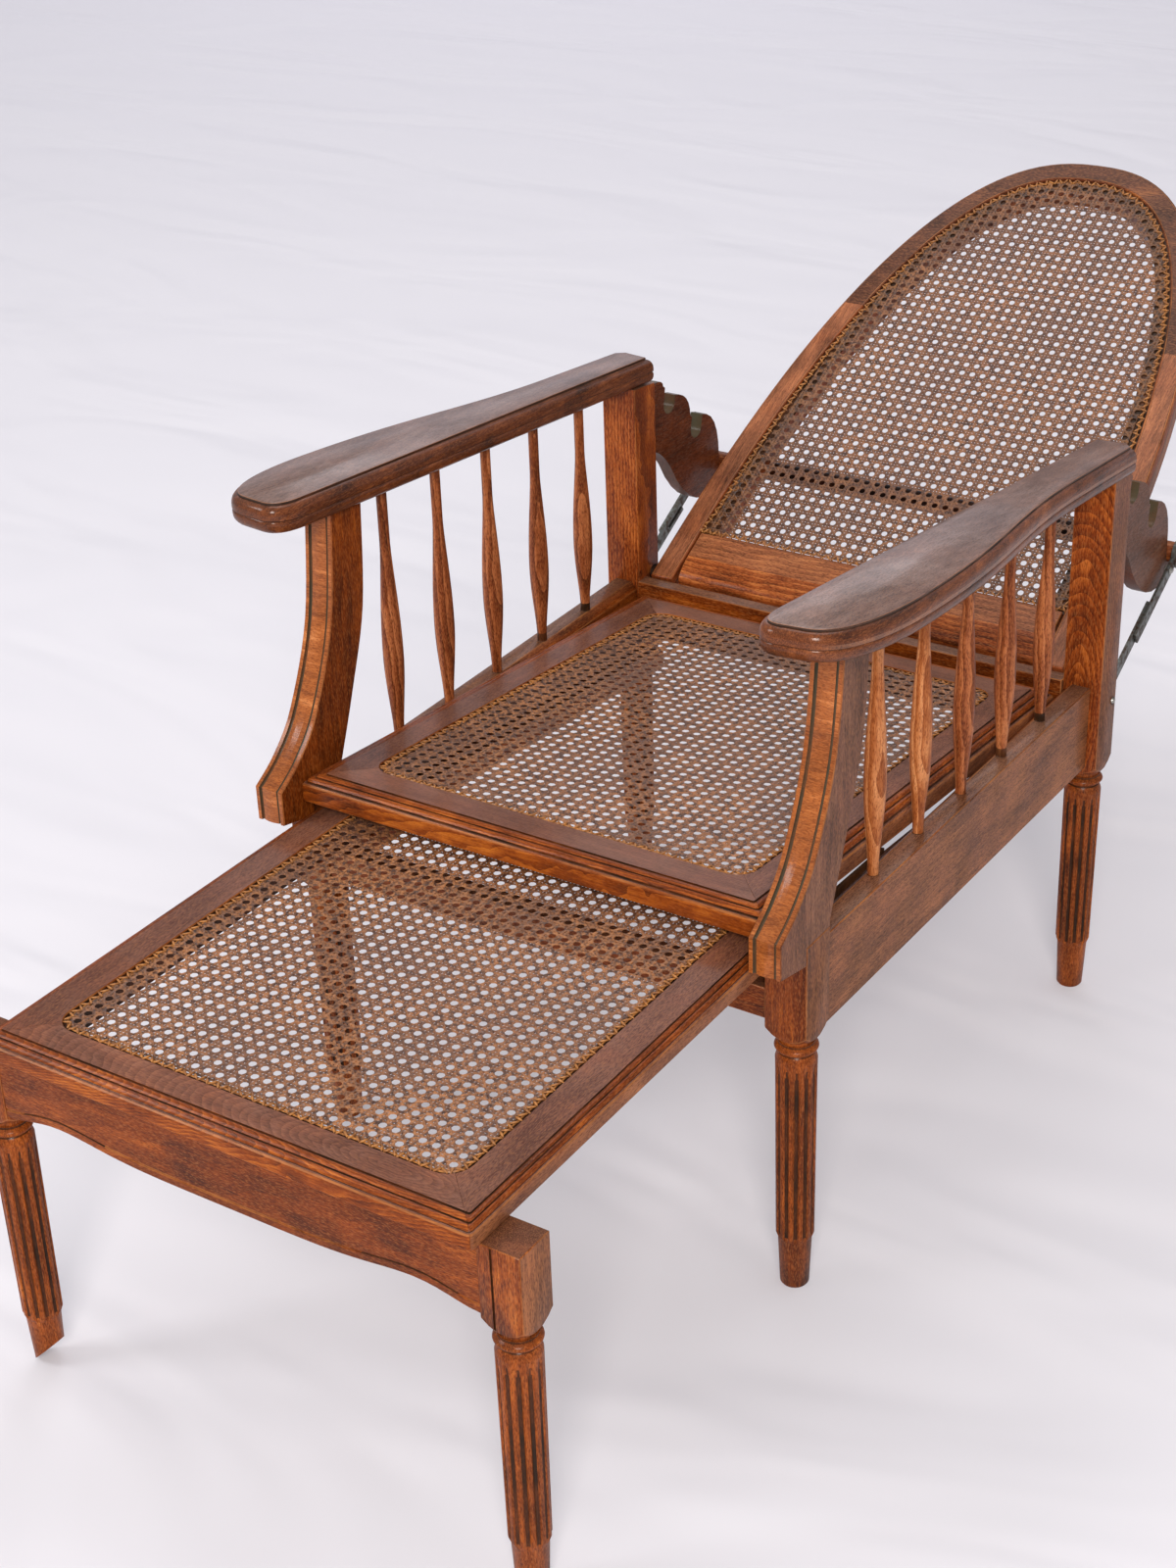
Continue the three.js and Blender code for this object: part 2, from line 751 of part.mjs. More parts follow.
// Apron board whose lower edge rises in two shallow arches.
function buildApron() {
  const half = rest_leg_inner_x - fit_gap;
  const top = rest_top_z - rest_thickness - fit_gap;
  const shape = new THREE.Shape();
  shape.moveTo(-half, top);
  shape.lineTo(-half, apron_mid_z);
  shape.bezierCurveTo(
    -half * 0.8, apron_mid_z + apron_rise * 1.2,
    -half * 0.5, apron_mid_z + apron_rise * 1.2,
    0, apron_mid_z,
  );
  shape.bezierCurveTo(
    half * 0.5, apron_mid_z + apron_rise * 1.2,
    half * 0.8, apron_mid_z + apron_rise * 1.2,
    half, apron_mid_z,
  );
  shape.lineTo(half, top);
  const upright = new THREE.ExtrudeGeometry(shape, {
    depth: apron_depth,
    bevelEnabled: false,
    curveSegments: arc_steps,
  });
  upright.rotateX(Math.PI / 2).translate(0, apron_front_y + apron_depth, 0);
  add('footrest_apron', upright, stained_wood, footrest);
}

function buildFootrestLegs() {
  const top = rest_top_z - rest_thickness - fit_gap;
  const leg = geometryOf(wholeLeg(rest_leg_square, rest_block_bottom_z, top));
  const half = rest_leg_square / 2;
  leg.translate(rest_leg_inner_x + half, rest_leg_front_y + half, 0);
  addPair('footrest_leg', leg, stained_wood, footrest);
}

// Height of the runners' top at a given y: it follows the seat's slope below the shoes.
function runnerTop(y) {
  const at_shoe = rest_top_z - rest_thickness - fit_gap - shoe_height - fit_gap;
  return at_shoe - seat_fall * (y - shoe_y);
}

function buildRunners() {
  const outer = rail_outer_x - rail_thickness - fit_gap;
  const bar = slab(outline([
    [runner_front_y, runnerTop(runner_front_y)],
    [runner_front_y, runnerTop(runner_front_y) - runner_height],
    [runner_rear_y, runnerTop(runner_rear_y) - runner_height],
    [runner_rear_y, runnerTop(runner_rear_y)],
  ]), 'x', runner_inner_x, outer + side_taper * runner_rear_y);
  const beyond = sheared(block(
    [outer, runner_front_y - cut_over, 0],
    [outer + cut_over, runner_rear_y + cut_over, rail_top_z],
  ), 'x', 'y', side_taper);
  addPair('footrest_runner', geometryOf(solid(bar).subtract(solid(beyond))), stained_wood);
}

// Sliding shoe with a crowned top that the footrest rocks on.
function buildShoes() {
  const top = rest_top_z - rest_thickness - fit_gap;
  const half = shoe_length / 2;
  const low = (y) => runnerTop(y) + fit_gap;
  const shape = outline([
    [shoe_y - half, low(shoe_y - half)],
    [shoe_y + half, low(shoe_y + half)],
    [shoe_y + half, top - shoe_crown],
    [shoe_y + half / 2, top - shoe_crown / 4],
    [shoe_y, top],
    [shoe_y - half / 2, top - shoe_crown / 4],
    [shoe_y - half, top - shoe_crown],
  ]);
  addPair('footrest_shoe', slab(shape, 'x', shoe_inner_x, shoe_inner_x + shoe_width), stained_wood);
}

// Arched outline of the back, up one side, over the crown and down the other.
function archPoints(halfWidth, rise, base, steps) {
  const power = 2 / back_arch_power;
  const start = Math.asin(((base + back_centre_below) / rise) ** (1 / power));
  return Array.from({ length: steps + 1 }, (_, i) => {
    const angle = start + (i / steps) * (Math.PI - 2 * start);
    const c = Math.cos(angle);
    return [
      halfWidth * Math.sign(c) * Math.abs(c) ** power,
      rise * Math.sin(angle) ** power - back_centre_below,
    ];
  });
}

function insideArch(halfWidth, rise, x, y) {
  const up = (y + back_centre_below) / rise;
  return (Math.abs(x) / halfWidth) ** back_arch_power + Math.abs(up) ** back_arch_power < 1;
}

// Board of the back with its lower end rounded about the pivot.
function backBoard() {
  const half = back_thickness / 2;
  const steps = arch_steps;
  const base = -half;
  const board = slab(outline(archPoints(back_half_width, back_rise, base, steps)), 'z', -half, half);
  const hole = slab(
    outline(archPoints(back_opening_half, back_opening_rise, back_rail_top, steps)),
    'z',
    -half - cut_over,
    half + cut_over,
  );
  const side = new THREE.Shape();
  side.absarc(0, 0, half, Math.PI, Math.PI * 2, false);
  side.lineTo(half, back_rise + cut_over);
  side.lineTo(-half, back_rise + cut_over);
  const rounded = new THREE.ExtrudeGeometry(side, {
    depth: back_half_width * 2 + cut_over,
    bevelEnabled: false,
    curveSegments: arc_steps * 2,
  });
  rounded.rotateY(Math.PI / 2).translate(-back_half_width - cut_over / 2, 0, 0);
  return solid(board).subtract(solid(hole)).intersect(solid(rounded));
}

function buildBack() {
  const half = back_thickness / 2;
  const board = backBoard();
  const deep = half + cut_over;
  const low = -half - cut_over;
  const gap = fit_gap / 2;
  const blind = bore(
    pivot_pin_radius + pin_play,
    back_half_width - pivot_pin_depth - fit_gap,
    back_half_width + cut_over,
    0,
    0,
  );
  const outer = back_half_width + cut_over;
  const foot = solid(block([back_seam_x + gap, low, -deep], [outer, back_rail_top + gap, deep]));
  const upper = solid(block([cut_over, back_rail_top + gap, -deep], [outer, crown_seam - gap, deep]));
  const stile = board.intersect(foot.add(upper)).subtract(blind);
  addPair('back_stile', geometryOf(stile), aged_wood, back);
  const crown = board.intersect(solid(block(
    [-back_half_width - cut_over, crown_seam + gap, -deep],
    [back_half_width + cut_over, back_rise + cut_over, deep],
  )));
  add('back_crown', geometryOf(crown), aged_wood, back);
  const rail = board.intersect(solid(block(
    [-back_seam_x + gap, -back_rail_below, -deep],
    [back_seam_x - gap, back_rail_top + gap, deep],
  )));
  add('back_bottom_rail', geometryOf(rail), stained_wood, back);
}

function buildBackCane() {
  const top = back_thickness / 2;
  const base = back_rail_top + fit_gap;
  const panel = archPoints(
    back_opening_half - fit_gap, back_opening_rise - fit_gap, base, arch_steps,
  );
  const reach = back_opening_rise - back_centre_below;
  const inside = (x, y) => insideArch(
    back_opening_half - cane_border, back_opening_rise - cane_border, x, y,
  );
  const cane = caneNet(
    panel,
    back_cane_cells,
    -back_opening_half + cane_border,
    back_rail_top + cane_border,
    back_opening_half - cane_border,
    reach - cane_border,
    inside,
    top,
  );
  add('back_cane', cane, golden_cane, back);
}

// Pin with a collar that fills the space between the stile and the post.
function buildBackPivots() {
  const stile_face = back_half_width + fit_gap;
  const post_face = rear_post_inner_x - fit_gap;
  const pin = turnedAcross([
    [0, back_half_width - pivot_pin_depth],
    [pivot_pin_radius, back_half_width - pivot_pin_depth],
    [pivot_pin_radius, stile_face],
    [pivot_collar_radius, stile_face],
    [pivot_collar_radius, post_face],
    [pivot_pin_radius, post_face],
    [pivot_pin_radius, rear_post_inner_x + pivot_pin_depth],
    [0, rear_post_inner_x + pivot_pin_depth],
  ], pin_sides, 0, 0);
  addPair('back_pivot', pin, dark_steel, back);
}

// Open notch for the bar: a slot with a round bottom, leaning a little to the rear.
function notchCut(y, z) {
  const half = notch_width / 2;
  const shape = new THREE.Shape();
  shape.absarc(0, 0, half, Math.PI, Math.PI * 2, false);
  shape.lineTo(half, cut_over * 2);
  shape.lineTo(-half, cut_over * 2);
  const cut = slab(shape, 'x', rack_inner_x - cut_over, rack_inner_x + rack_thickness + cut_over);
  return solid(cut.rotateX(-notch_tilt).translate(0, y, z));
}

// Rack plate behind the rear post: two open notches, and a seat for the bar at its lower end.
function buildRacks() {
  const post_y = rear_post_rear_y + fit_gap;
  const hook = notch_width / 2;
  const head_z = underArm(post_y) - rack_head_drop;
  const foot_z = bar_z + (head_z - bar_z) * rack_foot_share;
  const [[notch_y, notch_z], [next_y, next_z]] = notch_place_shares.map(([behind, above]) => [
    post_y + (bar_y - post_y) * behind,
    bar_z + (head_z - bar_z) * above,
  ]);
  const seat = bar_radius + fit_gap;
  const [lip_y, lip_z] = onBack(bar_up_back + seat, bar_off_back - seat);
  const shape = new THREE.Shape();
  shape.moveTo(post_y, head_z);
  shape.quadraticCurveTo(notch_y - hook, notch_z + hook * 3, notch_y - hook, notch_z + hook * 2);
  shape.lineTo(notch_y + hook, notch_z + hook / 2);
  shape.quadraticCurveTo(next_y - hook, notch_z, next_y - hook, next_z + hook * 1.5);
  shape.lineTo(next_y + hook, next_z + hook);
  shape.quadraticCurveTo(bar_y - seat, next_z + hook / 2, bar_y - seat, bar_z + seat);
  shape.lineTo(bar_y - seat, bar_z);
  shape.absarc(bar_y, bar_z, seat, -Math.PI, -lean, false);
  shape.lineTo(lip_y, lip_z);
  shape.lineTo(lip_y + hook / 2, lip_z - hook);
  shape.quadraticCurveTo(bar_y, bar_z - rack_chin, bar_y - rack_chin, bar_z - rack_chin);
  shape.quadraticCurveTo(notch_y + hook * 3, bar_z - rack_chin, notch_y, bar_z + hook * 3);
  shape.quadraticCurveTo(post_y + hook * 2, foot_z, post_y, foot_z);
  const plate = solid(slab(shape, 'x', rack_inner_x, rack_inner_x + rack_thickness));
  const cut = plate.subtract(notchCut(notch_y, notch_z)).subtract(notchCut(next_y, next_z));
  addPair('rack', geometryOf(cut), aged_wood);
}

// Flat steel strip along the stay's line, from one distance to another measured from the bolt.
function strip(from, to, half, inner, outer, roundStart, roundEnd) {
  const shape = new THREE.Shape();
  if (roundStart) {
    shape.absarc(from, 0, half, Math.PI / 2, Math.PI * 1.5, false);
  } else {
    shape.moveTo(from, half);
    shape.lineTo(from, -half);
  }
  if (roundEnd) {
    shape.absarc(to, 0, half, -Math.PI / 2, Math.PI / 2, false);
  } else {
    shape.lineTo(to, -half);
    shape.lineTo(to, half);
  }
  const flat = slab(shape, 'x', inner, outer);
  return solid(flat.rotateX(Math.PI / 2 - lean).translate(0, bolt_y, bolt_z));
}

const stay_inner_x = rack_inner_x + rack_thickness + stay_rack_gap;
const upper_inner_x = stay_inner_x + stay_thickness + fit_gap;
const upper_outer_x = upper_inner_x + stay_thickness;
const [rivet_y, rivet_z] = onBack(bar_up_back - rivet_from_eye, bar_off_back);

// Lower stay: a slotted strip in a pocket of the rear post, held by a bolt through the post.
function buildLowerStays() {
  const outer = stay_inner_x + stay_thickness;
  const body = strip(0, stay_lower_reach, stay_half_width, stay_inner_x, outer, true, false);
  const slot = strip(
    stay_slot_from, stay_slot_to, stay_slot_half, stay_inner_x - cut_over, outer + cut_over, true, true,
  );
  const hole = bore(bolt_radius + pin_play, stay_inner_x - cut_over, outer + cut_over, bolt_y, bolt_z);
  addPair('stay_lower', geometryOf(body.subtract(slot).subtract(hole)), dark_steel);
  const head = rear_post_outer_x + fit_gap;
  addPair('stay_bolt', turnedAcross([
    [0, rear_post_outer_x - bolt_depth],
    [bolt_radius, rear_post_outer_x - bolt_depth],
    [bolt_radius, head],
    [bolt_head_radius, head],
    [bolt_head_radius * 0.8, head + bolt_head_height * 0.6],
    [0, head + bolt_head_height],
  ], pin_sides, bolt_y, bolt_z), dark_steel);
}

// Upper stay: a strip with a stud in the lower one's slot and an eye round the bar's end.
function buildUpperStays() {
  const eye_outer = bar_radius + pin_play + stay_eye_wall;
  const body = strip(
    stay_upper_from, stay_length, stay_half_width, upper_inner_x, upper_outer_x, false, false,
  );
  const stud = bore(
    stay_slot_half - fit_gap, stay_inner_x, upper_inner_x + stay_thickness / 2,
    ...onBack(bar_up_back - stay_length + stay_slot_from, bar_off_back),
  );
  const eye_end = upper_inner_x + stay_eye_width;
  const eye = bore(eye_outer, upper_inner_x, eye_end, bar_y, bar_z, turned_sides);
  const hole = bore(
    bar_radius + pin_play, upper_inner_x - cut_over, eye_end + cut_over, bar_y, bar_z, turned_sides,
  );
  const rivetHole = bore(
    rivet_radius + pin_play, upper_inner_x - cut_over, upper_outer_x + cut_over, rivet_y, rivet_z,
  );
  const stay = body.add(stud).add(eye).subtract(hole).subtract(rivetHole);
  addPair('stay_upper', geometryOf(stay), dark_steel);
  addPair('stay_rivet', turnedAcross([
    [0, upper_inner_x - fit_gap - rivet_head_height],
    [rivet_head_radius, upper_inner_x - fit_gap - rivet_head_height],
    [rivet_head_radius, upper_inner_x - fit_gap],
    [rivet_radius, upper_inner_x - fit_gap],
    [rivet_radius, upper_outer_x + fit_gap],
    [rivet_head_radius, upper_outer_x + fit_gap],
    [rivet_head_radius / 2, upper_outer_x + fit_gap + rivet_head_height],
    [0, upper_outer_x + fit_gap + rivet_head_height],
  ], pin_sides, rivet_y, rivet_z), dark_steel);
}

function buildBar() {
  const chamfer = bar_radius / 4;
  add('support_bar', turnedAcross([
    [0, -bar_half_length],
    [bar_radius - chamfer, -bar_half_length],
    [bar_radius, -bar_half_length + chamfer],
    [bar_radius, bar_half_length - chamfer],
    [bar_radius - chamfer, bar_half_length],
    [0, bar_half_length],
  ], turned_sides, bar_y, bar_z), stained_wood);
}

chair.add(back);
buildFrontLegs();
buildRearLegs();
buildArms();
buildBrackets();
buildSpindles();
buildSideRails();
buildCrossRails();
buildSeat();
buildRunners();
buildShoes();
buildFootrestFrame();
buildApron();
buildFootrestLegs();
buildBack();
buildBackCane();
buildBackPivots();
buildRacks();
buildLowerStays();
buildUpperStays();
buildBar();

back.rotation.x = Math.PI / 2 - lean;
back.position.set(0, back_pivot_y, back_pivot_z);

// Stands the chair with the middle of its footprint at the origin.
const bounds = new THREE.Box3().setFromObject(chair, true);
chair.position.y = -(bounds.min.y + bounds.max.y) / 2;

export default chair;
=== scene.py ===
"""Caned reclining lounge chair with a slide-out footrest, dressed for the studio.

Pieces are laid out in millimetres in the chair's own frame: +Z up, the front faces -Y, and the
chair is symmetric about x = 0. They are brought to metres when they are handed over.
"""
import logging
from dataclasses import dataclass, field
from enum import Enum
from math import asin, ceil, cos, hypot, pi, radians, sin
from typing import Any, Callable, Iterable, Sequence

import bmesh
import bpy
from mathutils import Matrix, Vector


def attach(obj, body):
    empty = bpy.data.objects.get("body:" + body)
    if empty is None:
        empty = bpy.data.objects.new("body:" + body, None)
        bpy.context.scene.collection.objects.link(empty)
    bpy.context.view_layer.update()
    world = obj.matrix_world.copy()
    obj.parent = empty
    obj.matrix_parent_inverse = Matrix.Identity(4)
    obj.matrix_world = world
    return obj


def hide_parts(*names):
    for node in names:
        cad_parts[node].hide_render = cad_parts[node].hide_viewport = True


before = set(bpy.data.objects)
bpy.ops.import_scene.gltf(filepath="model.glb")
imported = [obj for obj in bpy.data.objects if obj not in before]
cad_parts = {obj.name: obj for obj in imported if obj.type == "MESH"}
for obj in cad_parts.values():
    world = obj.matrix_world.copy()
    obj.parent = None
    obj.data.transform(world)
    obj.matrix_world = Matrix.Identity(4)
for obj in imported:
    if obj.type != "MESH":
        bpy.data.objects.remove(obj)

log = logging.getLogger("chair")
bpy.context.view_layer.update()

Point2 = tuple[float, float]
Point3 = tuple[float, float, float]

MM = 0.001
ORIGIN_Y = -52.776
BACK_PIVOT = Vector((0.0, 282.3, 375.1))
BACK_LEAN = radians(61.24)
SEAT_FALL = 0.084
SEAT_FRONT_Y = -350.6
SEAT_FRONT_Z = 418.2
REST_TOP_Z = 380.2
SIDE_TAPER = 0.0156
ARM_TOP_Z = 658.8
ARM_THICKNESS = 30.0
ARM_FALL = 0.0995
SEAM = 0.3

TO_BACK = Matrix.Translation(BACK_PIVOT) @ Matrix.Rotation(pi / 2 - BACK_LEAN, 4, "X")


def sheared(moved: int, along: int, slope: float, lift: float = 0.0) -> Matrix:
    """Gives the matrix that leans a form.

    Args:
        moved: Axis number of the coordinate that changes.
        along: Axis number of the coordinate that it grows with.
        slope: Change per millimetre.
        lift: Shift of the moved coordinate.

    Returns:
        The shear as a 4 by 4 matrix.
    """
    matrix = Matrix.Identity(4)
    matrix[moved][along] = slope
    matrix[moved][3] = lift
    return matrix


TO_SEAT = sheared(2, 1, -SEAT_FALL, SEAT_FRONT_Z + SEAT_FALL * SEAT_FRONT_Y)
TO_REST = Matrix.Translation((0.0, 0.0, REST_TOP_Z))


class Grain(Enum):
    """Way the grain runs, as the turn that brings it onto the pattern's first axis."""

    ACROSS = (0.0, 0.0, 0.0)
    ALONG = (0.0, 0.0, -pi / 2)
    UPRIGHT = (0.0, pi / 2, 0.0)
    UP_BACK = (BACK_LEAN - pi / 2, 0.0, -pi / 2)


class Wear(Enum):
    """What use and painted light do to a face.

    A face is left alone, rubbed light, darkened where dirt lies and where shade is painted, or given
    little of the painted light.
    """

    PLAIN = 0
    RUBBED = 1
    # Darker: dirt in some grooves, and painted shade in other grooves, ledges and gaps
    DARKENED = 2
    # Takes only a little of the painted light tint
    SHELTERED = 3


def linear(code: str) -> tuple[float, float, float, float]:
    """Turns an sRGB hex code such as #8a4a26 into linear colour with full alpha."""
    parts = [int(code[i:i + 2], 16) / 255 for i in (1, 3, 5)]
    flat = [p / 12.92 if p <= 0.04045 else ((p + 0.055) / 1.055) ** 2.4 for p in parts]
    return (flat[0], flat[1], flat[2], 1.0)


def per(size_mm: float) -> float:
    """Gives the cells per metre of a pattern whose real size is given in millimetres."""
    return 1 / (size_mm * MM)


def add_node(tree: bpy.types.NodeTree, kind: str, inputs: dict[Any, Any] | None = None,
             **settings: Any) -> bpy.types.Node:
    """Adds a node with its settings and links.

    Args:
        tree: Node tree that takes the node.
        kind: Blender's name for the node type.
        inputs: Values and sockets for its inputs, by name or number.
        settings: Properties of the node itself.

    Returns:
        The new node.
    """
    node = tree.nodes.new(kind)
    for key, value in settings.items():
        setattr(node, key, value)
    for key, value in (inputs or {}).items():
        if isinstance(value, bpy.types.NodeSocket):
            tree.links.new(value, node.inputs[key])
        else:
            node.inputs[key].default_value = value
    return node


def new_material(name: str) -> tuple[bpy.types.Material, bpy.types.NodeTree]:
    """Makes an empty node material and gives it with its tree."""
    material = bpy.data.materials.new(name)
    material.use_nodes = True
    material.node_tree.nodes.clear()
    return material, material.node_tree


@dataclass(frozen=True)
class BeechFinish:
    """Beech, sawn or turned, stained red-brown and shellacked.

    Stain and shellac on close-grained beech give the eye short dark flecks and soft growth lines
    under a low gloss. Faces that look up or outwards carry painted light, a tint that stands in
    for sheen and shade; faces marked for little of it stay orange.
    """

    name: str
    grain: Grain
    wear: Wear = Wear.PLAIN
    deep: str = "#401805"
    warm: str = "#a44c12"
    bright: str = "#cf7d2b"
    # Painted light: the tints of faces that look up or outwards, standing in for sheen and shade
    aged_deep: str = "#50311f"
    aged_top: str = "#8e6955"
    aged_side: str = "#ad7049"
    rubbed: str = "#b0713f"
    # Colour of dirt in some grooves, and of painted shade in other grooves, ledges and gaps
    filled: str = "#2b1a0d"
    ring_spacing_mm: float = 7.0
    ring_share: float = 0.12
    band_share: float = 0.05
    fleck_share: float = 0.6
    # Real fibres are under 0.1 mm wide and the rays' flecks 0.3 mm, too fine to show: both are coarser
    fibre_width_mm: float = 1.9
    fibre_ratio: float = 15.0
    fleck_width_mm: float = 0.8
    fleck_ratio: float = 5.0
    figure_mm: Point2 = (111.1, 33.33)
    band_mm: Point2 = (33.33, 142.86)
    patch_mm: float = 45.45
    pith_mm: Point3 = (0.0, 60.0, -90.0)
    pith_lean: Point2 = (0.035, 0.035)
    figure_weight: float = 1.25
    fibre_weight: float = 0.75
    stain_span: Point2 = (0.78, 1.55)
    bright_span: Point2 = (1.22, 1.75)
    bright_share: float = 0.7
    # Shares of the painted light tint, on most faces and on those marked for little of it
    ageing: float = 1.0
    sheltered_ageing: float = 0.1
    rough: Point2 = (0.4, 0.58)
    pore_depth_mm: float = 0.25
    sheen: float = 0.1
    shellac: float = 0.15
    shellac_rough: float = 0.16

    def streaks(self, tree: bpy.types.NodeTree, along: Any, length_mm: float,
                width_mm: float, **settings: float) -> Any:
        """Gives noise that is drawn out along the grain.

        Args:
            tree: Node tree of the material.
            along: Place with the grain on its first axis.
            length_mm: Size of the pattern along the grain.
            width_mm: Size of the pattern across it.
            settings: Detail, roughness and distortion of the noise.

        Returns:
            The noise's output.
        """
        drawn_out = add_node(tree, "ShaderNodeMapping", {
            "Vector": along, "Scale": (per(length_mm), per(width_mm), per(width_mm))})
        return add_node(tree, "ShaderNodeTexNoise", {
            "Vector": drawn_out.outputs[0], "Scale": 1.0, **settings}).outputs[0]

    def figured(self, tree: bpy.types.NodeTree, along: Any, fibre: Any) -> Any:
        """Gives the sum of growth rings, bands, fibres and clouded figure, from dark to light."""
        figure = self.streaks(tree, along, *self.figure_mm, Detail=5.0, Roughness=0.6,
                              Distortion=0.5)
        bands = add_node(tree, "ShaderNodeMapRange", {
            "Value": self.streaks(tree, along, *self.band_mm, Detail=1.0, Distortion=0.4),
            "From Min": 0.45, "From Max": 0.55, "To Max": self.band_share})
        rings = add_node(tree, "ShaderNodeTexWave", {
            "Vector": add_node(tree, "ShaderNodeMapping", {
                "Vector": along, "Location": tuple(part * MM for part in self.pith_mm),
                "Rotation": (0.0, *self.pith_lean)}).outputs[0],
            "Scale": 2 * pi * per(self.ring_spacing_mm) / 20,
            "Distortion": 5.0, "Detail": 2.0, "Detail Scale": 0.35, "Detail Roughness": 0.5,
        }, wave_type="RINGS", rings_direction="X", wave_profile="SAW")
        lines = add_node(tree, "ShaderNodeMath", {
            0: rings.outputs["Fac"], 1: self.ring_share, 2: bands.outputs[0]},
            operation="MULTIPLY_ADD")
        fibres = add_node(tree, "ShaderNodeMath", {
            0: fibre, 1: self.fibre_weight, 2: lines.outputs[0]}, operation="MULTIPLY_ADD")
        return add_node(tree, "ShaderNodeMath", {
            0: figure, 1: self.figure_weight, 2: fibres.outputs[0]},
            operation="MULTIPLY_ADD").outputs[0]

    def stained(self, tree: bpy.types.NodeTree, sums: Any, tone: Any) -> Any:
        """Gives the colour of the stained wood before the painted light."""
        ground = add_node(tree, "ShaderNodeMix", {
            0: tone, 6: linear(self.deep), 7: linear(self.warm)}, data_type="RGBA")
        lights = add_node(tree, "ShaderNodeMapRange", {
            "Value": sums, "From Min": self.bright_span[0], "From Max": self.bright_span[1],
            "To Max": self.bright_share})
        return add_node(tree, "ShaderNodeMix", {
            0: lights.outputs[0], 6: ground.outputs[2], 7: linear(self.bright)},
            data_type="RGBA").outputs[2]

    def aged(self, tree: bpy.types.NodeTree, fresh: Any, tone: Any, patches: Any) -> Any:
        """Paints light on the faces that look up or away from the chair's middle, unevenly: a tint
        that stands in for sheen and shade.

        Args:
            tree: Node tree of the material.
            fresh: Colour before the painted light.
            tone: Figure of the wood, from dark to light.
            patches: Noise that makes the painted light uneven.

        Returns:
            The colour with the painted light.
        """
        place = add_node(tree, "ShaderNodeTexCoord")
        facing = add_node(tree, "ShaderNodeSeparateXYZ", {0: place.outputs["Normal"]})
        where = add_node(tree, "ShaderNodeSeparateXYZ", {0: place.outputs["Object"]})
        side = add_node(tree, "ShaderNodeMath", {0: where.outputs[0]}, operation="SIGN")
        outward = add_node(tree, "ShaderNodeMath", {
            0: facing.outputs[0], 1: side.outputs[0]}, operation="MULTIPLY")
        up_mask = add_node(tree, "ShaderNodeMapRange", {
            "Value": facing.outputs[2], "From Min": 0.6, "From Max": 1.0})
        side_mask = add_node(tree, "ShaderNodeMapRange", {
            "Value": outward.outputs[0], "From Min": 0.55, "From Max": 0.95})
        tint = add_node(tree, "ShaderNodeMix", {
            0: up_mask.outputs[0], 6: linear(self.aged_side), 7: linear(self.aged_top)},
            data_type="RGBA")
        greyed = add_node(tree, "ShaderNodeMix", {
            0: tone, 6: linear(self.aged_deep), 7: tint.outputs[2]}, data_type="RGBA")
        reached = add_node(tree, "ShaderNodeMath", {
            0: up_mask.outputs[0], 1: side_mask.outputs[0]}, operation="MAXIMUM")
        uneven = add_node(tree, "ShaderNodeMapRange", {
            "Value": patches, "From Min": 0.25, "From Max": 0.6, "To Min": 0.6, "To Max": 1.0})
        # How much of the painted light tint each face takes
        age = add_node(tree, "ShaderNodeMath", {
            0: reached.outputs[0], 1: uneven.outputs[0]}, operation="MULTIPLY")
        ageing = self.sheltered_ageing if self.wear is Wear.SHELTERED else self.ageing
        share = add_node(tree, "ShaderNodeMath", {
            0: age.outputs[0], 1: ageing}, operation="MULTIPLY")
        return add_node(tree, "ShaderNodeMix", {
            0: share.outputs[0], 6: fresh, 7: greyed.outputs[2]}, data_type="RGBA").outputs[2]

    def flecked(self, tree: bpy.types.NodeTree, wood: Any, speckle: Any, flecks: Any) -> Any:
        """Strews pale gleams and dark flecks over a colour."""
        gleams = add_node(tree, "ShaderNodeMapRange", {
            "Value": speckle, "From Min": 0.46, "From Max": 0.34, "To Max": self.fleck_share / 2})
        sparked = add_node(tree, "ShaderNodeMix", {
            0: gleams.outputs[0], 6: wood, 7: linear(self.rubbed)}, data_type="RGBA")
        share = add_node(tree, "ShaderNodeMath", {
            0: flecks, 1: self.fleck_share}, operation="MULTIPLY")
        return add_node(tree, "ShaderNodeMix", {
            0: share.outputs[0], 6: sparked.outputs[2], 7: linear(self.deep)},
            data_type="RGBA").outputs[2]

    def worn(self, tree: bpy.types.NodeTree, colour: Any, patches: Any) -> Any:
        """Rubs a colour light, or darkens it for dirt and painted shade, as the face is marked."""
        if self.wear not in (Wear.RUBBED, Wear.DARKENED):
            return colour
        light = self.wear is Wear.RUBBED
        strength = add_node(tree, "ShaderNodeMapRange", {
            "Value": patches, "From Min": 0.36, "From Max": 0.62,
            "To Min": 0.0 if light else 0.6, "To Max": 0.6 if light else 1.0})
        return add_node(tree, "ShaderNodeMix", {
            0: strength.outputs[0], 6: colour, 7: linear(self.rubbed if light else self.filled)},
            data_type="RGBA").outputs[2]

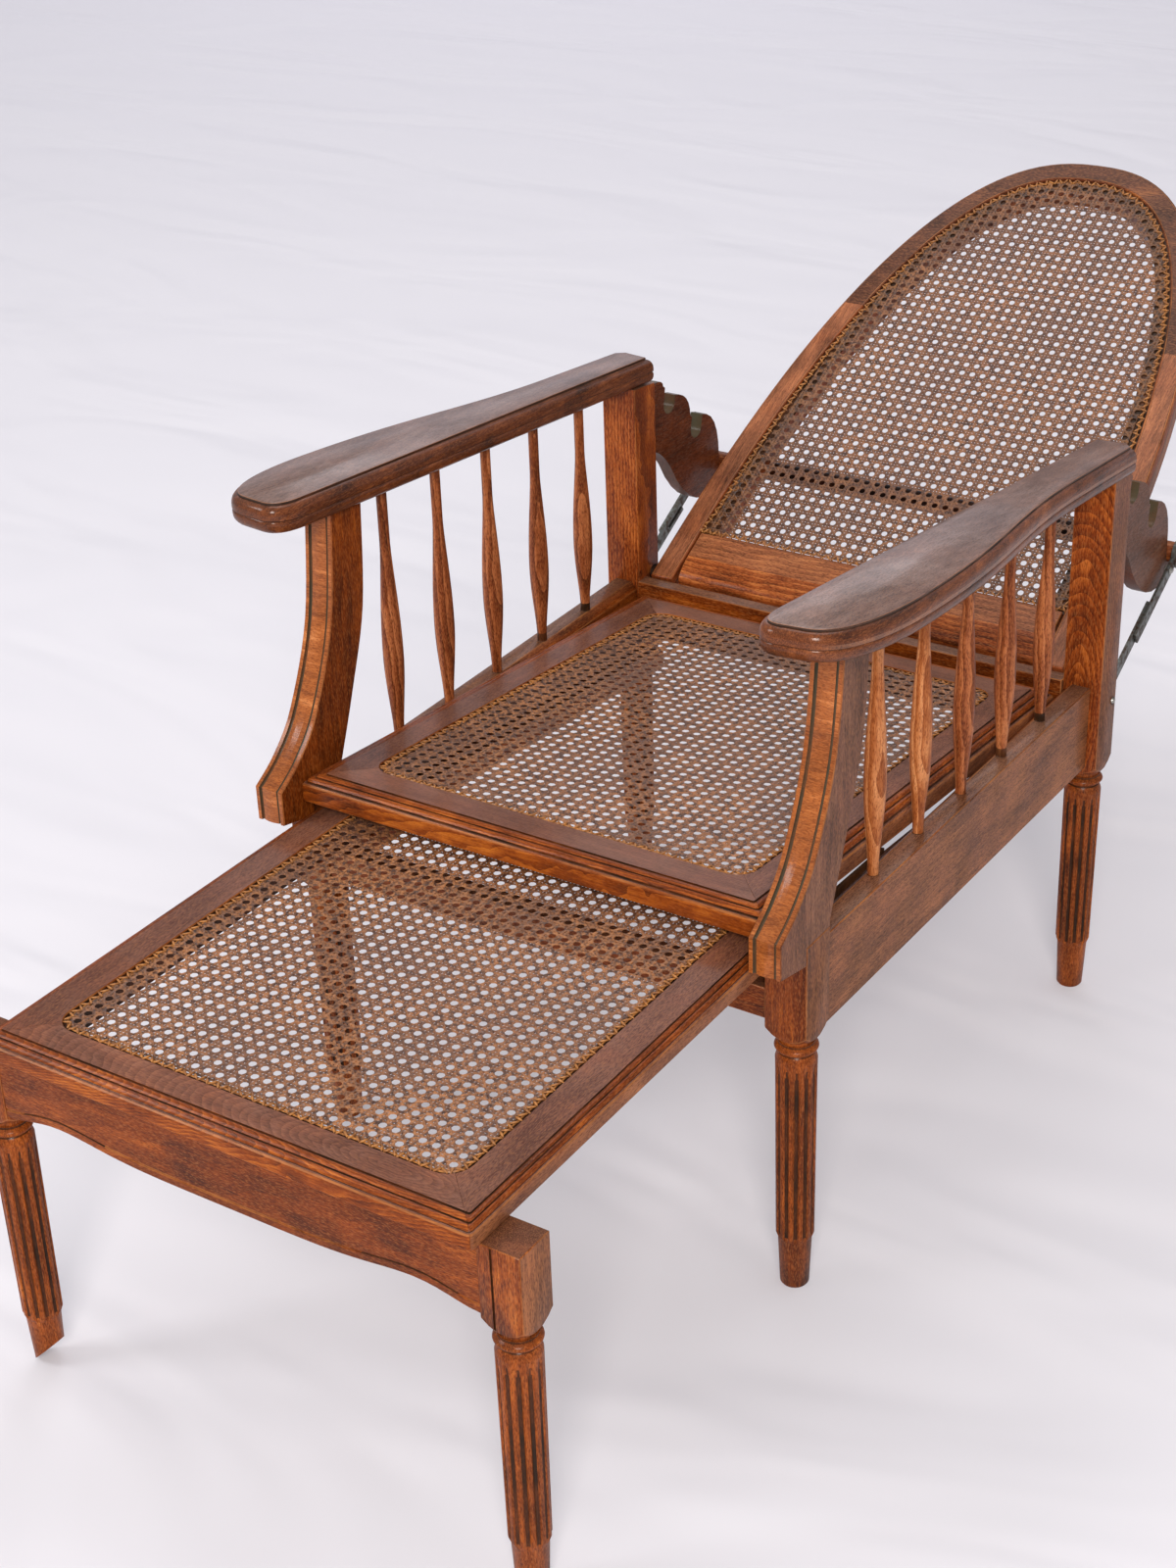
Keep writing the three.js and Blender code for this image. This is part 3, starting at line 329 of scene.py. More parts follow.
    def material(self) -> bpy.types.Material:
        """Makes the node material."""
        material, tree = new_material(self.name)
        place = add_node(tree, "ShaderNodeTexCoord")
        along = add_node(tree, "ShaderNodeMapping", {
            "Vector": place.outputs["Object"], "Rotation": self.grain.value}).outputs[0]
        fibre = self.streaks(tree, along, self.fibre_width_mm * self.fibre_ratio,
                             self.fibre_width_mm, Detail=3.0, Roughness=0.6)
        speckle = self.streaks(tree, along, self.fleck_width_mm * self.fleck_ratio,
                               self.fleck_width_mm, Detail=1.0)
        flecks = add_node(tree, "ShaderNodeMapRange", {
            "Value": speckle, "From Min": 0.53, "From Max": 0.64}).outputs[0]
        patches = add_node(tree, "ShaderNodeTexNoise", {
            "Vector": place.outputs["Object"], "Scale": per(self.patch_mm), "Detail": 4.0,
            "Roughness": 0.6}).outputs[0]
        sums = self.figured(tree, along, fibre)
        tone = add_node(tree, "ShaderNodeMapRange", {
            "Value": sums, "From Min": self.stain_span[0], "From Max": self.stain_span[1],
        }).outputs[0]
        wood = self.aged(tree, self.stained(tree, sums, tone), tone, patches)
        colour = self.worn(tree, self.flecked(tree, wood, speckle, flecks), patches)
        gloss = add_node(tree, "ShaderNodeMapRange", {
            "Value": patches, "From Min": 0.3, "From Max": 0.7,
            "To Min": self.rough[0], "To Max": self.rough[1]})
        relief = add_node(tree, "ShaderNodeMath", {
            0: flecks, 1: -0.5, 2: fibre}, operation="MULTIPLY_ADD")
        bump = add_node(tree, "ShaderNodeBump", {
            "Height": relief.outputs[0], "Strength": 0.35, "Distance": self.pore_depth_mm * MM})
        shader = add_node(tree, "ShaderNodeBsdfPrincipled", {
            "Base Color": colour, "Roughness": gloss.outputs[0], "Normal": bump.outputs[0],
            "IOR": 1.5, "Specular IOR Level": self.sheen, "Coat Weight": self.shellac,
            "Coat Roughness": self.shellac_rough})
        add_node(tree, "ShaderNodeOutputMaterial", {0: shader.outputs[0]})
        return material


@dataclass(frozen=True)
class CaneFinish:
    """Rattan cane, split, woven by hand and shellacked.

    The glossy skin of the split rattan gives small warm glints, and age has browned it unevenly.
    """

    name: str = "rattan_cane_split_and_woven"
    pale: str = "#ba7a46"
    brown: str = "#35190c"
    greyed: str = "#5f4236"
    sheen: float = 0.45
    strand_mm: float = 2.6
    patch_mm: float = 90.9
    skin_mm: float = 0.867
    skin_depth_mm: float = 0.2

    def material(self) -> bpy.types.Material:
        """Makes the node material."""
        material, tree = new_material(self.name)
        place = add_node(tree, "ShaderNodeTexCoord")
        strand = add_node(tree, "ShaderNodeTexNoise", {
            "Vector": place.outputs["Object"], "Scale": per(2 * self.strand_mm),
            "Detail": 2.0, "Roughness": 0.7})
        broad = add_node(tree, "ShaderNodeTexNoise", {
            "Vector": place.outputs["Object"], "Scale": per(self.patch_mm), "Detail": 2.0})
        skin = add_node(tree, "ShaderNodeTexNoise", {
            "Vector": place.outputs["Object"], "Scale": per(self.skin_mm), "Detail": 1.0})
        shade = add_node(tree, "ShaderNodeMapRange", {
            "Value": strand.outputs[0], "From Min": 0.38, "From Max": 0.62})
        hue = add_node(tree, "ShaderNodeMix", {
            0: shade.outputs[0], 6: linear(self.brown), 7: linear(self.pale)}, data_type="RGBA")
        dusty = add_node(tree, "ShaderNodeMapRange", {
            "Value": broad.outputs[0], "From Min": 0.3, "From Max": 0.7,
            "To Min": 0.25, "To Max": 0.7})
        colour = add_node(tree, "ShaderNodeMix", {
            0: dusty.outputs[0], 6: hue.outputs[2], 7: linear(self.greyed)}, data_type="RGBA")
        bump = add_node(tree, "ShaderNodeBump", {
            "Height": skin.outputs[0], "Strength": 0.3, "Distance": self.skin_depth_mm * MM})
        gloss = add_node(tree, "ShaderNodeMapRange", {
            "Value": skin.outputs[0], "From Min": 0.3, "From Max": 0.7,
            "To Min": 0.3, "To Max": 0.5})
        shader = add_node(tree, "ShaderNodeBsdfPrincipled", {
            "Base Color": colour.outputs[2], "Roughness": gloss.outputs[0],
            "Normal": bump.outputs[0], "IOR": 1.5, "Specular IOR Level": self.sheen})
        add_node(tree, "ShaderNodeOutputMaterial", {0: shader.outputs[0]})
        return material


@dataclass(frozen=True)
class SteelFinish:
    """Mild steel strip, rolled and long since oiled dark.

    Old oil and a little rust give the eye a dull grey-green metal with brown specks.
    """

    name: str = "mild_steel_rolled_and_oiled"
    clean: str = "#6a6d6a"
    rust: str = "#4a3a30"
    rough: Point2 = (0.34, 0.6)
    blotch_mm: float = 6.25
    pit_depth_mm: float = 0.2

    def material(self) -> bpy.types.Material:
        """Makes the node material."""
        material, tree = new_material(self.name)
        place = add_node(tree, "ShaderNodeTexCoord")
        blotches = add_node(tree, "ShaderNodeTexNoise", {
            "Vector": place.outputs["Object"], "Scale": per(self.blotch_mm), "Detail": 4.0})
        mask = add_node(tree, "ShaderNodeMapRange", {
            "Value": blotches.outputs[0], "From Min": 0.42, "From Max": 0.66})
        colour = add_node(tree, "ShaderNodeMix", {
            0: mask.outputs[0], 6: linear(self.clean), 7: linear(self.rust)}, data_type="RGBA")
        rough = add_node(tree, "ShaderNodeMapRange", {
            "Value": blotches.outputs[0], "From Min": 0.35, "From Max": 0.65,
            "To Min": self.rough[0], "To Max": self.rough[1]})
        bump = add_node(tree, "ShaderNodeBump", {
            "Height": blotches.outputs[0], "Strength": 0.3, "Distance": self.pit_depth_mm * MM})
        shader = add_node(tree, "ShaderNodeBsdfPrincipled", {
            "Base Color": colour.outputs[2], "Metallic": 0.85, "Roughness": rough.outputs[0],
            "Normal": bump.outputs[0]})
        add_node(tree, "ShaderNodeOutputMaterial", {0: shader.outputs[0]})
        return material


@dataclass(frozen=True)
class SheetFinish:
    """Cotton sheeting, plain woven, hung and laid as a studio ground.

    Soft folds in the matt cloth give the eye faint broad shades.
    """

    name: str = "cotton_sheeting_plain_woven"
    colour: str = "#e7e5ec"
    seen: str = "#e8e7ed"
    lift: float = 0.25
    fold_mm: Point2 = (769.2, 312.5)
    fold_depth_mm: float = 60.0

    def material(self) -> bpy.types.Material:
        """Makes the node material."""
        material, tree = new_material(self.name)
        place = add_node(tree, "ShaderNodeTexCoord")
        folds = add_node(tree, "ShaderNodeTexNoise", {
            "Vector": add_node(tree, "ShaderNodeMapping", {
                "Vector": place.outputs["Object"], "Rotation": (0.0, 0.0, 0.6),
                "Scale": (per(self.fold_mm[0]), per(self.fold_mm[1]), 1.0)}).outputs[0],
            "Scale": 1.0, "Detail": 2.0, "Distortion": 0.8})
        bump = add_node(tree, "ShaderNodeBump", {
            "Height": folds.outputs[0], "Strength": 0.6,
            "Distance": self.fold_depth_mm * MM})
        shader = add_node(tree, "ShaderNodeBsdfPrincipled", {
            "Base Color": linear(self.colour), "Roughness": 0.9, "Normal": bump.outputs[0],
            "Specular IOR Level": 0.1})
        seen = add_node(tree, "ShaderNodeLightPath")
        share = add_node(tree, "ShaderNodeMath", {
            0: seen.outputs["Is Camera Ray"], 1: self.lift}, operation="MULTIPLY")
        glow = add_node(tree, "ShaderNodeEmission", {"Color": linear(self.seen)})
        mixed = add_node(tree, "ShaderNodeMixShader", {
            0: share.outputs[0], 1: shader.outputs[0], 2: glow.outputs[0]})
        add_node(tree, "ShaderNodeOutputMaterial", {0: mixed.outputs[0]})
        return material


class Finishes:
    """The finishes in use, each made once."""

    def __init__(self) -> None:
        """Starts with none made."""
        self.made: dict[Any, bpy.types.Material] = {}

    def get(self, finish: Any) -> bpy.types.Material:
        """Gives the material of a finish, and makes it the first time."""
        if finish not in self.made:
            self.made[finish] = finish.material()
        return self.made[finish]

    def beech(self, grain: Grain, kind: str = "board", **changes: Any) -> list[bpy.types.Material]:
        """Gives the materials of beech with one grain direction, in the order of Wear."""
        return [self.get(BeechFinish(
            name=f"beech_stained_{kind}_{grain.name.lower()}_{wear.name.lower()}",
            grain=grain, wear=wear, **changes)) for wear in Wear]


FINISHES = Finishes()


@dataclass
class Piece:
    """One workpiece: a mesh in millimetres, the body it rides on and the nodes it stands for."""

    name: str
    body: str
    slot: str
    nodes: tuple[str, ...] = ()
    mesh: bmesh.types.BMesh = field(default_factory=bmesh.new)

    def whole(self) -> list[Any]:
        """Gives all the vertices, edges and faces."""
        return [*self.mesh.verts, *self.mesh.edges, *self.mesh.faces]

    def block(self, low: Point3, high: Point3) -> list[bmesh.types.BMVert]:
        """Adds a box between two corners."""
        size = Vector(high) - Vector(low)
        middle = (Vector(high) + Vector(low)) / 2
        place = Matrix.Translation(middle) @ Matrix.Diagonal((*size, 1.0))
        return bmesh.ops.create_cube(self.mesh, size=1.0, matrix=place)["verts"]

    def board(self, outline: Sequence[Point2], axis: int, low: float,
              stations: Sequence[float]) -> tuple[Any, Any]:
        """Adds a board cut to an outline.

        Args:
            outline: Corners in the plane of the two axes after the board's own axis.
            axis: Axis number of the board's thickness.
            low: Place of its first face.
            stations: Places of the following layers, up to its last face.

        Returns:
            The first and the last face.
        """
        first, second = (axis + 1) % 3, (axis + 2) % 3
        corners = []
        for a, b in outline:
            spot = [0.0, 0.0, 0.0]
            spot[axis], spot[first], spot[second] = low, a, b
            corners.append(self.mesh.verts.new(spot))
        start = self.mesh.faces.new(corners)
        face, level = start, low
        for station in stations:
            kept = face is start
            grown = bmesh.ops.extrude_face_region(
                self.mesh, geom=[face], use_keep_orig=kept)["geom"]
            moved = [part for part in grown if isinstance(part, bmesh.types.BMVert)]
            step = Vector((0.0, 0.0, 0.0))
            step[axis] = station - level
            bmesh.ops.translate(self.mesh, verts=moved, vec=step)
            faces = [part for part in grown if isinstance(part, bmesh.types.BMFace)]
            face = faces[0]
            level = station
        return start, face

    def turned(self, profile: Sequence[Point2], sides: int) -> None:
        """Adds a form turned about the z axis from radius and height pairs.

        Args:
            profile: Radius and height pairs that start and end on the axis.
            sides: Number of faces round the form.
        """
        points = [self.mesh.verts.new((radius, 0.0, height)) for radius, height in profile]
        lines = [self.mesh.edges.new(pair) for pair in zip(points, points[1:])]
        bmesh.ops.spin(self.mesh, geom=[*points, *lines], cent=(0, 0, 0), axis=(0, 0, 1),
                       dvec=(0, 0, 0), angle=2 * pi, steps=sides, use_merge=True,
                       use_normal_flip=False, use_duplicate=False)
        bmesh.ops.remove_doubles(self.mesh, verts=self.mesh.verts, dist=0.01)

    def swept(self, loops: Sequence[Sequence[Point3]], kinds: Sequence[Wear],
              shut: bool = True) -> None:
        """Adds a skin drawn from each closed loop to the next.

        Args:
            loops: Loops of equal point counts.
            kinds: Wear of each band, one for each loop after the first and one for the closing.
            shut: Whether the last loop is drawn on to the first.
        """
        bm = self.mesh
        place = bm.verts.layers.int.get("place") or bm.verts.layers.int.new("place")
        ring = []
        for number, spot in enumerate(loops[0]):
            corner = bm.verts.new(spot)
            corner[place] = number
            ring.append(corner)
        edges = [bm.edges.new((ring[i - 1], ring[i])) for i in range(len(ring))]
        targets = [*loops[1:], loops[0]] if shut else list(loops[1:])
        for target, kind in zip(targets, kinds):
            grown = bmesh.ops.extrude_edge_only(bm, edges=edges)["geom"]
            fresh = {part for part in grown if isinstance(part, bmesh.types.BMVert)}
            for corner in fresh:
                corner.co = target[corner[place]]
            edges = [part for part in grown if isinstance(part, bmesh.types.BMEdge)
                     and part.verts[0] in fresh and part.verts[1] in fresh]
            for part in grown:
                if isinstance(part, bmesh.types.BMFace):
                    part.material_index = kind.value
        bmesh.ops.remove_doubles(bm, verts=bm.verts, dist=0.01)

    def from_node(self, node: str) -> None:
        """Starts from a merged copy of a CAD node, back in the chair's own millimetres."""
        self.mesh.from_mesh(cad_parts[node].data)
        bmesh.ops.remove_doubles(self.mesh, verts=self.mesh.verts, dist=1e-6)
        bmesh.ops.dissolve_limit(self.mesh, angle_limit=radians(1.5), verts=self.mesh.verts,
                                 edges=self.mesh.edges)
        self.move(TO_METRES.inverted())

    def join(self, other: "Piece") -> None:
        """Takes in another piece's mesh, which is used up."""
        scratch = bpy.data.meshes.new("scratch")
        other.mesh.to_mesh(scratch)
        other.mesh.free()
        self.mesh.from_mesh(scratch)
        bpy.data.meshes.remove(scratch)

    def cut(self, spot: Point3, away: Point3) -> None:
        """Cuts off what lies beyond a plane and closes the end.

        Args:
            spot: A point of the plane.
            away: Direction of what is cut off.
        """
        made = bmesh.ops.bisect_plane(self.mesh, geom=self.whole(), dist=1e-4, plane_co=spot,
                                      plane_no=away, clear_outer=True, clear_inner=False)
        rim = [part for part in made["geom_cut"]
               if isinstance(part, bmesh.types.BMEdge) and part.is_boundary]
        if rim:
            bmesh.ops.edgeloop_fill(self.mesh, edges=rim)

    def moulded(self, face: Any, steps: Sequence[tuple[float, float, Wear]]) -> Any:
        """Works a moulding inwards from the rim of a face.

        Args:
            face: Flat face to start from.
            steps: Width, rise and wear of each band.

        Returns:
            The face that is left in the middle.
        """
        for width, rise, kind in steps:
            bands = bmesh.ops.inset_region(
                self.mesh, faces=[face], thickness=width, depth=rise, use_even_offset=True,
                use_boundary=True)["faces"]
            for band in bands:
                band.material_index = kind.value
        return face

    def eased(self, width: float, test: Callable[[Any], bool] | None = None,
              segments: int = 1) -> None:
        """Takes off the sharp arrises, and marks them as rubbed.

        Args:
            width: Width taken off each side of an arris.
            test: Says which edges are eased, and None takes all the sharp ones.
            segments: Facets across the arris.
        """
        edges = [edge for edge in self.mesh.edges
                 if edge.is_manifold and abs(edge.calc_face_angle(0.0)) > radians(40)
                 and edge.calc_length() > width * 2 and (test is None or test(edge))]
        if not edges:
            return
        made = bmesh.ops.bevel(self.mesh, geom=edges, offset=width, offset_type="OFFSET",
                               segments=segments, profile=0.5, affect="EDGES", material=-1,
                               clamp_overlap=True)
        for face in made["faces"]:
            face.material_index = Wear.RUBBED.value

    def move(self, matrix: Matrix) -> None:
        """Turns, shifts or leans the whole mesh."""
        bmesh.ops.transform(self.mesh, matrix=matrix, verts=self.mesh.verts)

    def mirrored(self, name: str, nodes: tuple[str, ...]) -> "Piece":
        """Gives the same piece for the other side of the chair."""
        other = Piece(name, self.body, self.slot, nodes, self.mesh.copy())
        other.move(Matrix.Diagonal((-1.0, 1.0, 1.0, 1.0)))
        bmesh.ops.reverse_faces(other.mesh, faces=other.mesh.faces)
        return other

    def hand_over(self, materials: Sequence[bpy.types.Material],
                  smooth_below: float = 38.0) -> bpy.types.Object:
        """Finishes the mesh in metres and puts it on its body.

        Args:
            materials: Materials in the order of Wear, or one alone.
            smooth_below: Angle in degrees up to which neighbouring faces shade as one.

        Returns:
            The finished object.
        """
        bmesh.ops.remove_doubles(self.mesh, verts=self.mesh.verts, dist=0.005)
        bmesh.ops.recalc_face_normals(self.mesh, faces=self.mesh.faces)
        for face in self.mesh.faces:
            face.smooth = True
        for edge in self.mesh.edges:
            edge.smooth = edge.is_manifold and edge.calc_face_angle(0.0) < radians(smooth_below)
        self.move(TO_METRES)
        data = bpy.data.meshes.new(self.name)
        self.mesh.to_mesh(data)
        self.mesh.free()
        for material in materials:
            data.materials.append(material)
        made = bpy.data.objects.new(self.name, data)
        bpy.context.scene.collection.objects.link(made)
        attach(made, self.body)
        if self.nodes:
            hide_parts(*self.nodes)
        log.info("%s: %d faces", self.name, len(data.polygons))
        return made


TO_METRES = Matrix.Scale(MM, 4) @ Matrix.Translation((0.0, ORIGIN_Y, 0.0))


def pair(piece: Piece, materials: Sequence[bpy.types.Material],
         left_materials: Sequence[bpy.types.Material] | None = None) -> None:
    """Hands over a right-hand piece and its left-hand twin.

    Args:
        piece: Piece with _right in its name and its nodes' names.
        materials: Materials in the order of Wear.
        left_materials: Materials of the twin, where they differ.
    """
    left_nodes = tuple(node.replace("_right", "_left") for node in piece.nodes)
    twin = piece.mirrored(piece.name.replace("_right", "_left"), left_nodes)
    piece.hand_over(materials)
    twin.hand_over(left_materials or materials)


def rounded(low: Point2, high: Point2, radius: float, steps: int = 6) -> list[Point2]:
    """Gives points round a rectangle with rounded corners, anticlockwise from its low corner."""
    (x0, y0), (x1, y1) = low, high
    centres = ((x0 + radius, y0 + radius, pi), (x1 - radius, y0 + radius, 1.5 * pi),
               (x1 - radius, y1 - radius, 0.0), (x0 + radius, y1 - radius, pi / 2))
    turns = [i / steps * pi / 2 for i in range(steps + 1)]
    return [(x + radius * cos(start + turn), y + radius * sin(start + turn))
            for x, y, start in centres for turn in turns]


def eased_line(knots: Sequence[Point2], steps: int) -> list[Point2]:
    """Draws a smooth line through knots.

    Args:
        knots: Points that the line passes through.
        steps: Points between one knot and the next.

    Returns:
        The line's points.
    """
    padded = [knots[0], *knots, knots[-1]]
    line = []
    for i in range(1, len(padded) - 2):
        a, b, c, d = padded[i - 1:i + 3]
        for k in range(steps):
            t = k / steps
            line.append(tuple(0.5 * (2 * q + (r - p) * t + (2 * p - 5 * q + 4 * r - s) * t * t
                                     + (3 * q - p - 3 * r + s) * t ** 3)
                              for p, q, r, s in zip(a, b, c, d)))
    line.append(tuple(knots[-1]))
    return line


def grown(outline: Sequence[Point2], out: float) -> list[Point2]:
    """Moves each point of an anticlockwise outline outwards."""
    moved = []
    neighbours = zip([outline[-1], *outline[:-1]], outline, [*outline[1:], outline[0]])
    for before, here, after in neighbours:
        along = Vector(after) - Vector(before)
        along.normalize()
        moved.append((here[0] + along.y * out, here[1] - along.x * out))
    return moved


def arm_underside(y: float) -> float:
    """Gives the height of the arms' underside."""
    return ARM_TOP_Z - ARM_THICKNESS - ARM_FALL * y


def carried_over(nodes: Iterable[str], material: bpy.types.Material) -> None:
    """Gives hidden CAD nodes, which keep their own form, their finish."""
    for node in nodes:
        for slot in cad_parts[node].material_slots:
            slot.material = material
        log.info("%s: as modelled", node)


def nowhere(x: float, y: float) -> bool:
    """Says that no place in a panel lies over wood."""
    return False


@dataclass(frozen=True)
class LegBlock:
    """Squared block of a leg: half its width, the heights of its ends and its axis."""

    half: float
    bottom: float
    top: float
    x: float
    y: float


@dataclass
class LegSet:
    """The six legs: squared blocks on turned and fluted shafts."""

    front: LegBlock = LegBlock(21, 281, 385, 263.5, -328)
    rear: LegBlock = LegBlock(21, 272, 700, 279.5, 271)
    rest: LegBlock = LegBlock(20, 278, 358.9, 266, -770)
    passage_x: float = 252.4
    passage_z: float = 345.0
    score_x: float = 259.2
    score_width: float = 2.2
    score_depth: float = 1.4
    foot_cut: float = 12.4
    shoulder_facets: int = 16
    shoulder_slope: float = 0.9
    arris: float = 0.8
    flutes: int = 12
    columns: int = 10
    flute_depth: float = 2.2
    flute_share: float = 0.5
    flute_drop: float = 28.0
    flute_rise: float = 6.0
    lancet: float = 12.0
    rows: int = 26
    ring_drop: float = 9.0
    ring_radius: float = 20.2
    bead_width: float = 3.4
    bead_height: float = 8.4
    neck_radius: float = 15.5
    fillet: float = 1.6
    core_rise: float = 5.0
    shaft_radius: float = 19.2
    shaft_foot_radius: float = 18.0
    swell_width: float = 2.4
    swell_height: float = 8.0
    swell_drop: float = 10.4
    foot_radius: float = 13.6
    foot_top_radius: float = 15.8
    foot_height: float = 54.0
    foot_ease: float = 1.5
    # Heights from the ring's top between which the turned grooves are painted dark as shade
    grooves: tuple[Point2, ...] = ((-0.2, 2.4), (-10.6, -8.2))

    def profile(self, bottom: float) -> list[Point2]:
        """Gives the radius and height pairs of the turned part under a block."""
        top = bottom - self.ring_drop
        flute_top, flute_foot = bottom - self.flute_drop, self.foot_height + self.flute_rise
        waist, hip = self.ring_radius - self.bead_width, self.shaft_radius - self.swell_width
        bead = [(waist + self.bead_width * sin(pi * k / 8), top - self.bead_height * k / 8)
                for k in range(9)]
        swell = [(hip + self.swell_width * sin(pi / 2 * k / 5),
                  top - self.swell_drop - self.swell_height * k / 5) for k in range(6)]
        taper, fall = self.shaft_foot_radius - self.shaft_radius, flute_foot - flute_top - 2
        shaft = [(self.shaft_radius + taper * k / self.rows, flute_top + 2 + fall * k / self.rows)
                 for k in range(self.rows + 1)]
        neck = self.neck_radius + self.fillet
        return [(0.0, bottom + self.core_rise), (self.neck_radius, bottom + self.core_rise),
                (self.neck_radius, top + self.fillet + 1.0), (neck, top + self.fillet + 0.6),
                (neck, top + self.fillet / 2), *bead,
                (self.shaft_radius - self.bead_width, top - self.bead_height - 0.8), *swell, *shaft,
                (self.foot_top_radius + 0.6, self.foot_height + self.foot_ease),
                (self.foot_top_radius, self.foot_height), (self.foot_radius, 2.0),
                (self.foot_radius - self.foot_ease, 0.0), (0.0, 0.0)]

    def flute(self, part: Piece, flute_foot: float, flute_top: float) -> None:
        """Hollows the flutes, each with a lancet end at the top."""
        pitch = 2 * pi / self.flutes
        for corner in part.mesh.verts:
            x, y, z = corner.co
            radius = hypot(x, y)
            if not flute_foot - 0.5 <= z <= flute_top + 0.1 or radius < self.foot_top_radius + 1:
                continue
            angle = Vector((x, y)).angle_signed(Vector((1.0, 0.0)), 0.0)
            off = abs((angle + pitch / 2) % pitch - pitch / 2) / (pitch / 2)
            reach = min(1.0, max(0.0, flute_top - z) / self.lancet) ** 0.6 * self.flute_share
            if off < reach:
                hollow = self.flute_depth * (1 - (off / reach) ** 2) ** 0.5 * min(1, reach * 2.2)
                corner.co.x *= (radius - hollow) / radius
                corner.co.y *= (radius - hollow) / radius

    def shaft(self, piece: Piece, bottom: float) -> None:
        """Adds the turned and fluted part.

        Args:
            piece: Leg that takes it.
            bottom: Height of the block's underside.
        """
        flute_top, flute_foot = bottom - self.flute_drop, self.foot_height + self.flute_rise
        part = Piece("shaft", piece.body, piece.slot)
        part.turned(self.profile(bottom), self.flutes * self.columns)
        self.flute(part, flute_foot, flute_top)
        for face in part.mesh.faces:
            middle = face.calc_center_median()
            share = (middle.z - self.foot_height) / (flute_top - self.foot_height)
            nominal = self.shaft_foot_radius + (self.shaft_radius - self.shaft_foot_radius) * share
            # Flute bottoms and turned grooves are painted dark as shade
            sunk = flute_foot < middle.z < flute_top and nominal - hypot(middle.x, middle.y) > 1.5
            down = middle.z - (bottom - self.ring_drop)
            filled = sunk or any(low < down < high for low, high in self.grooves)
            face.material_index = len(Wear) + (Wear.DARKENED if filled else Wear.PLAIN).value
        piece.join(part)

    def leg(self, name: str, body: str, node: str, block: LegBlock) -> Piece:
        """Builds one leg on its axis, turns away its block's lower corners and stands it up."""
        piece = Piece(name, body, "stained_wood", (node,))
        half = block.half
        piece.block((-half, -half, block.bottom), (half, half, block.top))
        for k in range(self.shoulder_facets):
            angle = 2 * pi * k / self.shoulder_facets
            away = Vector((cos(angle), sin(angle), -self.shoulder_slope)).normalized()
            piece.cut((half * cos(angle), half * sin(angle), block.bottom), away)
        piece.eased(self.arris)
        self.shaft(piece, block.bottom)
        piece.move(Matrix.Translation((block.x, block.y, 0.0)))
        return piece

    def score(self, piece: Piece) -> None:
        """Scores an upright line down the front of the footrest leg's block."""
        bm = piece.mesh
        x, width = self.score_x, self.score_width
        foot, front_y = self.rest.bottom - 8, self.rest.y - self.rest.half
        fronts = [face for face in bm.faces if face.normal.y < -0.99 and face.calc_area() > 500]
        for side in (-0.5, 0.5):
            parts = {part for face in fronts for part in (face, *face.edges, *face.verts)
                     if part.is_valid}
            bmesh.ops.bisect_plane(bm, geom=list(parts), dist=1e-4,
                                   plane_co=(x + side * width, 0.0, 0.0), plane_no=(1.0, 0.0, 0.0))
            fronts = [face for face in bm.faces if face.normal.y < -0.99
                      and face.calc_center_median().z > foot and face.calc_area() > 50]
        line = [face for face in fronts if abs(face.calc_center_median().x - x) < width / 2]
        bmesh.ops.inset_individual(bm, faces=line, thickness=0.0, depth=-self.score_depth)
        # The scored line and the front beside it are painted dark as shade
        for face in bm.faces:
            middle = face.calc_center_median()
            if abs(middle.x - x) < width * 0.6 and middle.z > foot and (
                    face.material_index < len(Wear)) and (
                    middle.y < front_y + 2 or face in line):
                face.material_index = Wear.DARKENED.value

    def build(self) -> None:
        """Builds and dresses the legs."""
        # Painted light: the top and side tints of these finishes stand in for sheen and shade; the leg
        # blocks' tops are painted darker as shade
        turned = FINISHES.beech(Grain.UPRIGHT, "turned", ageing=0.12, warm="#b5581a")
        wood = FINISHES.beech(Grain.UPRIGHT, "leg", aged_top="#6e4636") + turned
        figured = FINISHES.beech(Grain.UPRIGHT, "post", pith_mm=(0.0, -287.0, 282.0),
                                 pith_lean=(0.02, 0.28), ring_spacing_mm=4.2, ring_share=0.34,
                                 deep="#431808", warm="#ab4f19", bright="#d6833a",
                                 aged_side="#8c5b40")
        front = self.leg("front_leg_right", "frame", "leg_front_right", self.front)
        for corner in front.mesh.verts:
            if corner.co.x < self.passage_x and corner.co.z > self.passage_z + 5:
                corner.co.z = self.passage_z
        pair(front, wood)
        rear = self.leg("rear_leg_right", "frame", "leg_rear_right", self.rear)
        rear.cut((0.0, 0.0, arm_underside(0.0) - SEAM), (0.0, ARM_FALL, 1.0))
        pair(rear, figured + turned)
        rest = self.leg("rest_leg_right", "footrest", "footrest_leg_right", self.rest)
        self.score(rest)
        rest.cut((self.rest.x + self.foot_cut, self.rest.y, 0.0), (-1.0, 0.0, -1.0))
        pair(rest, wood)


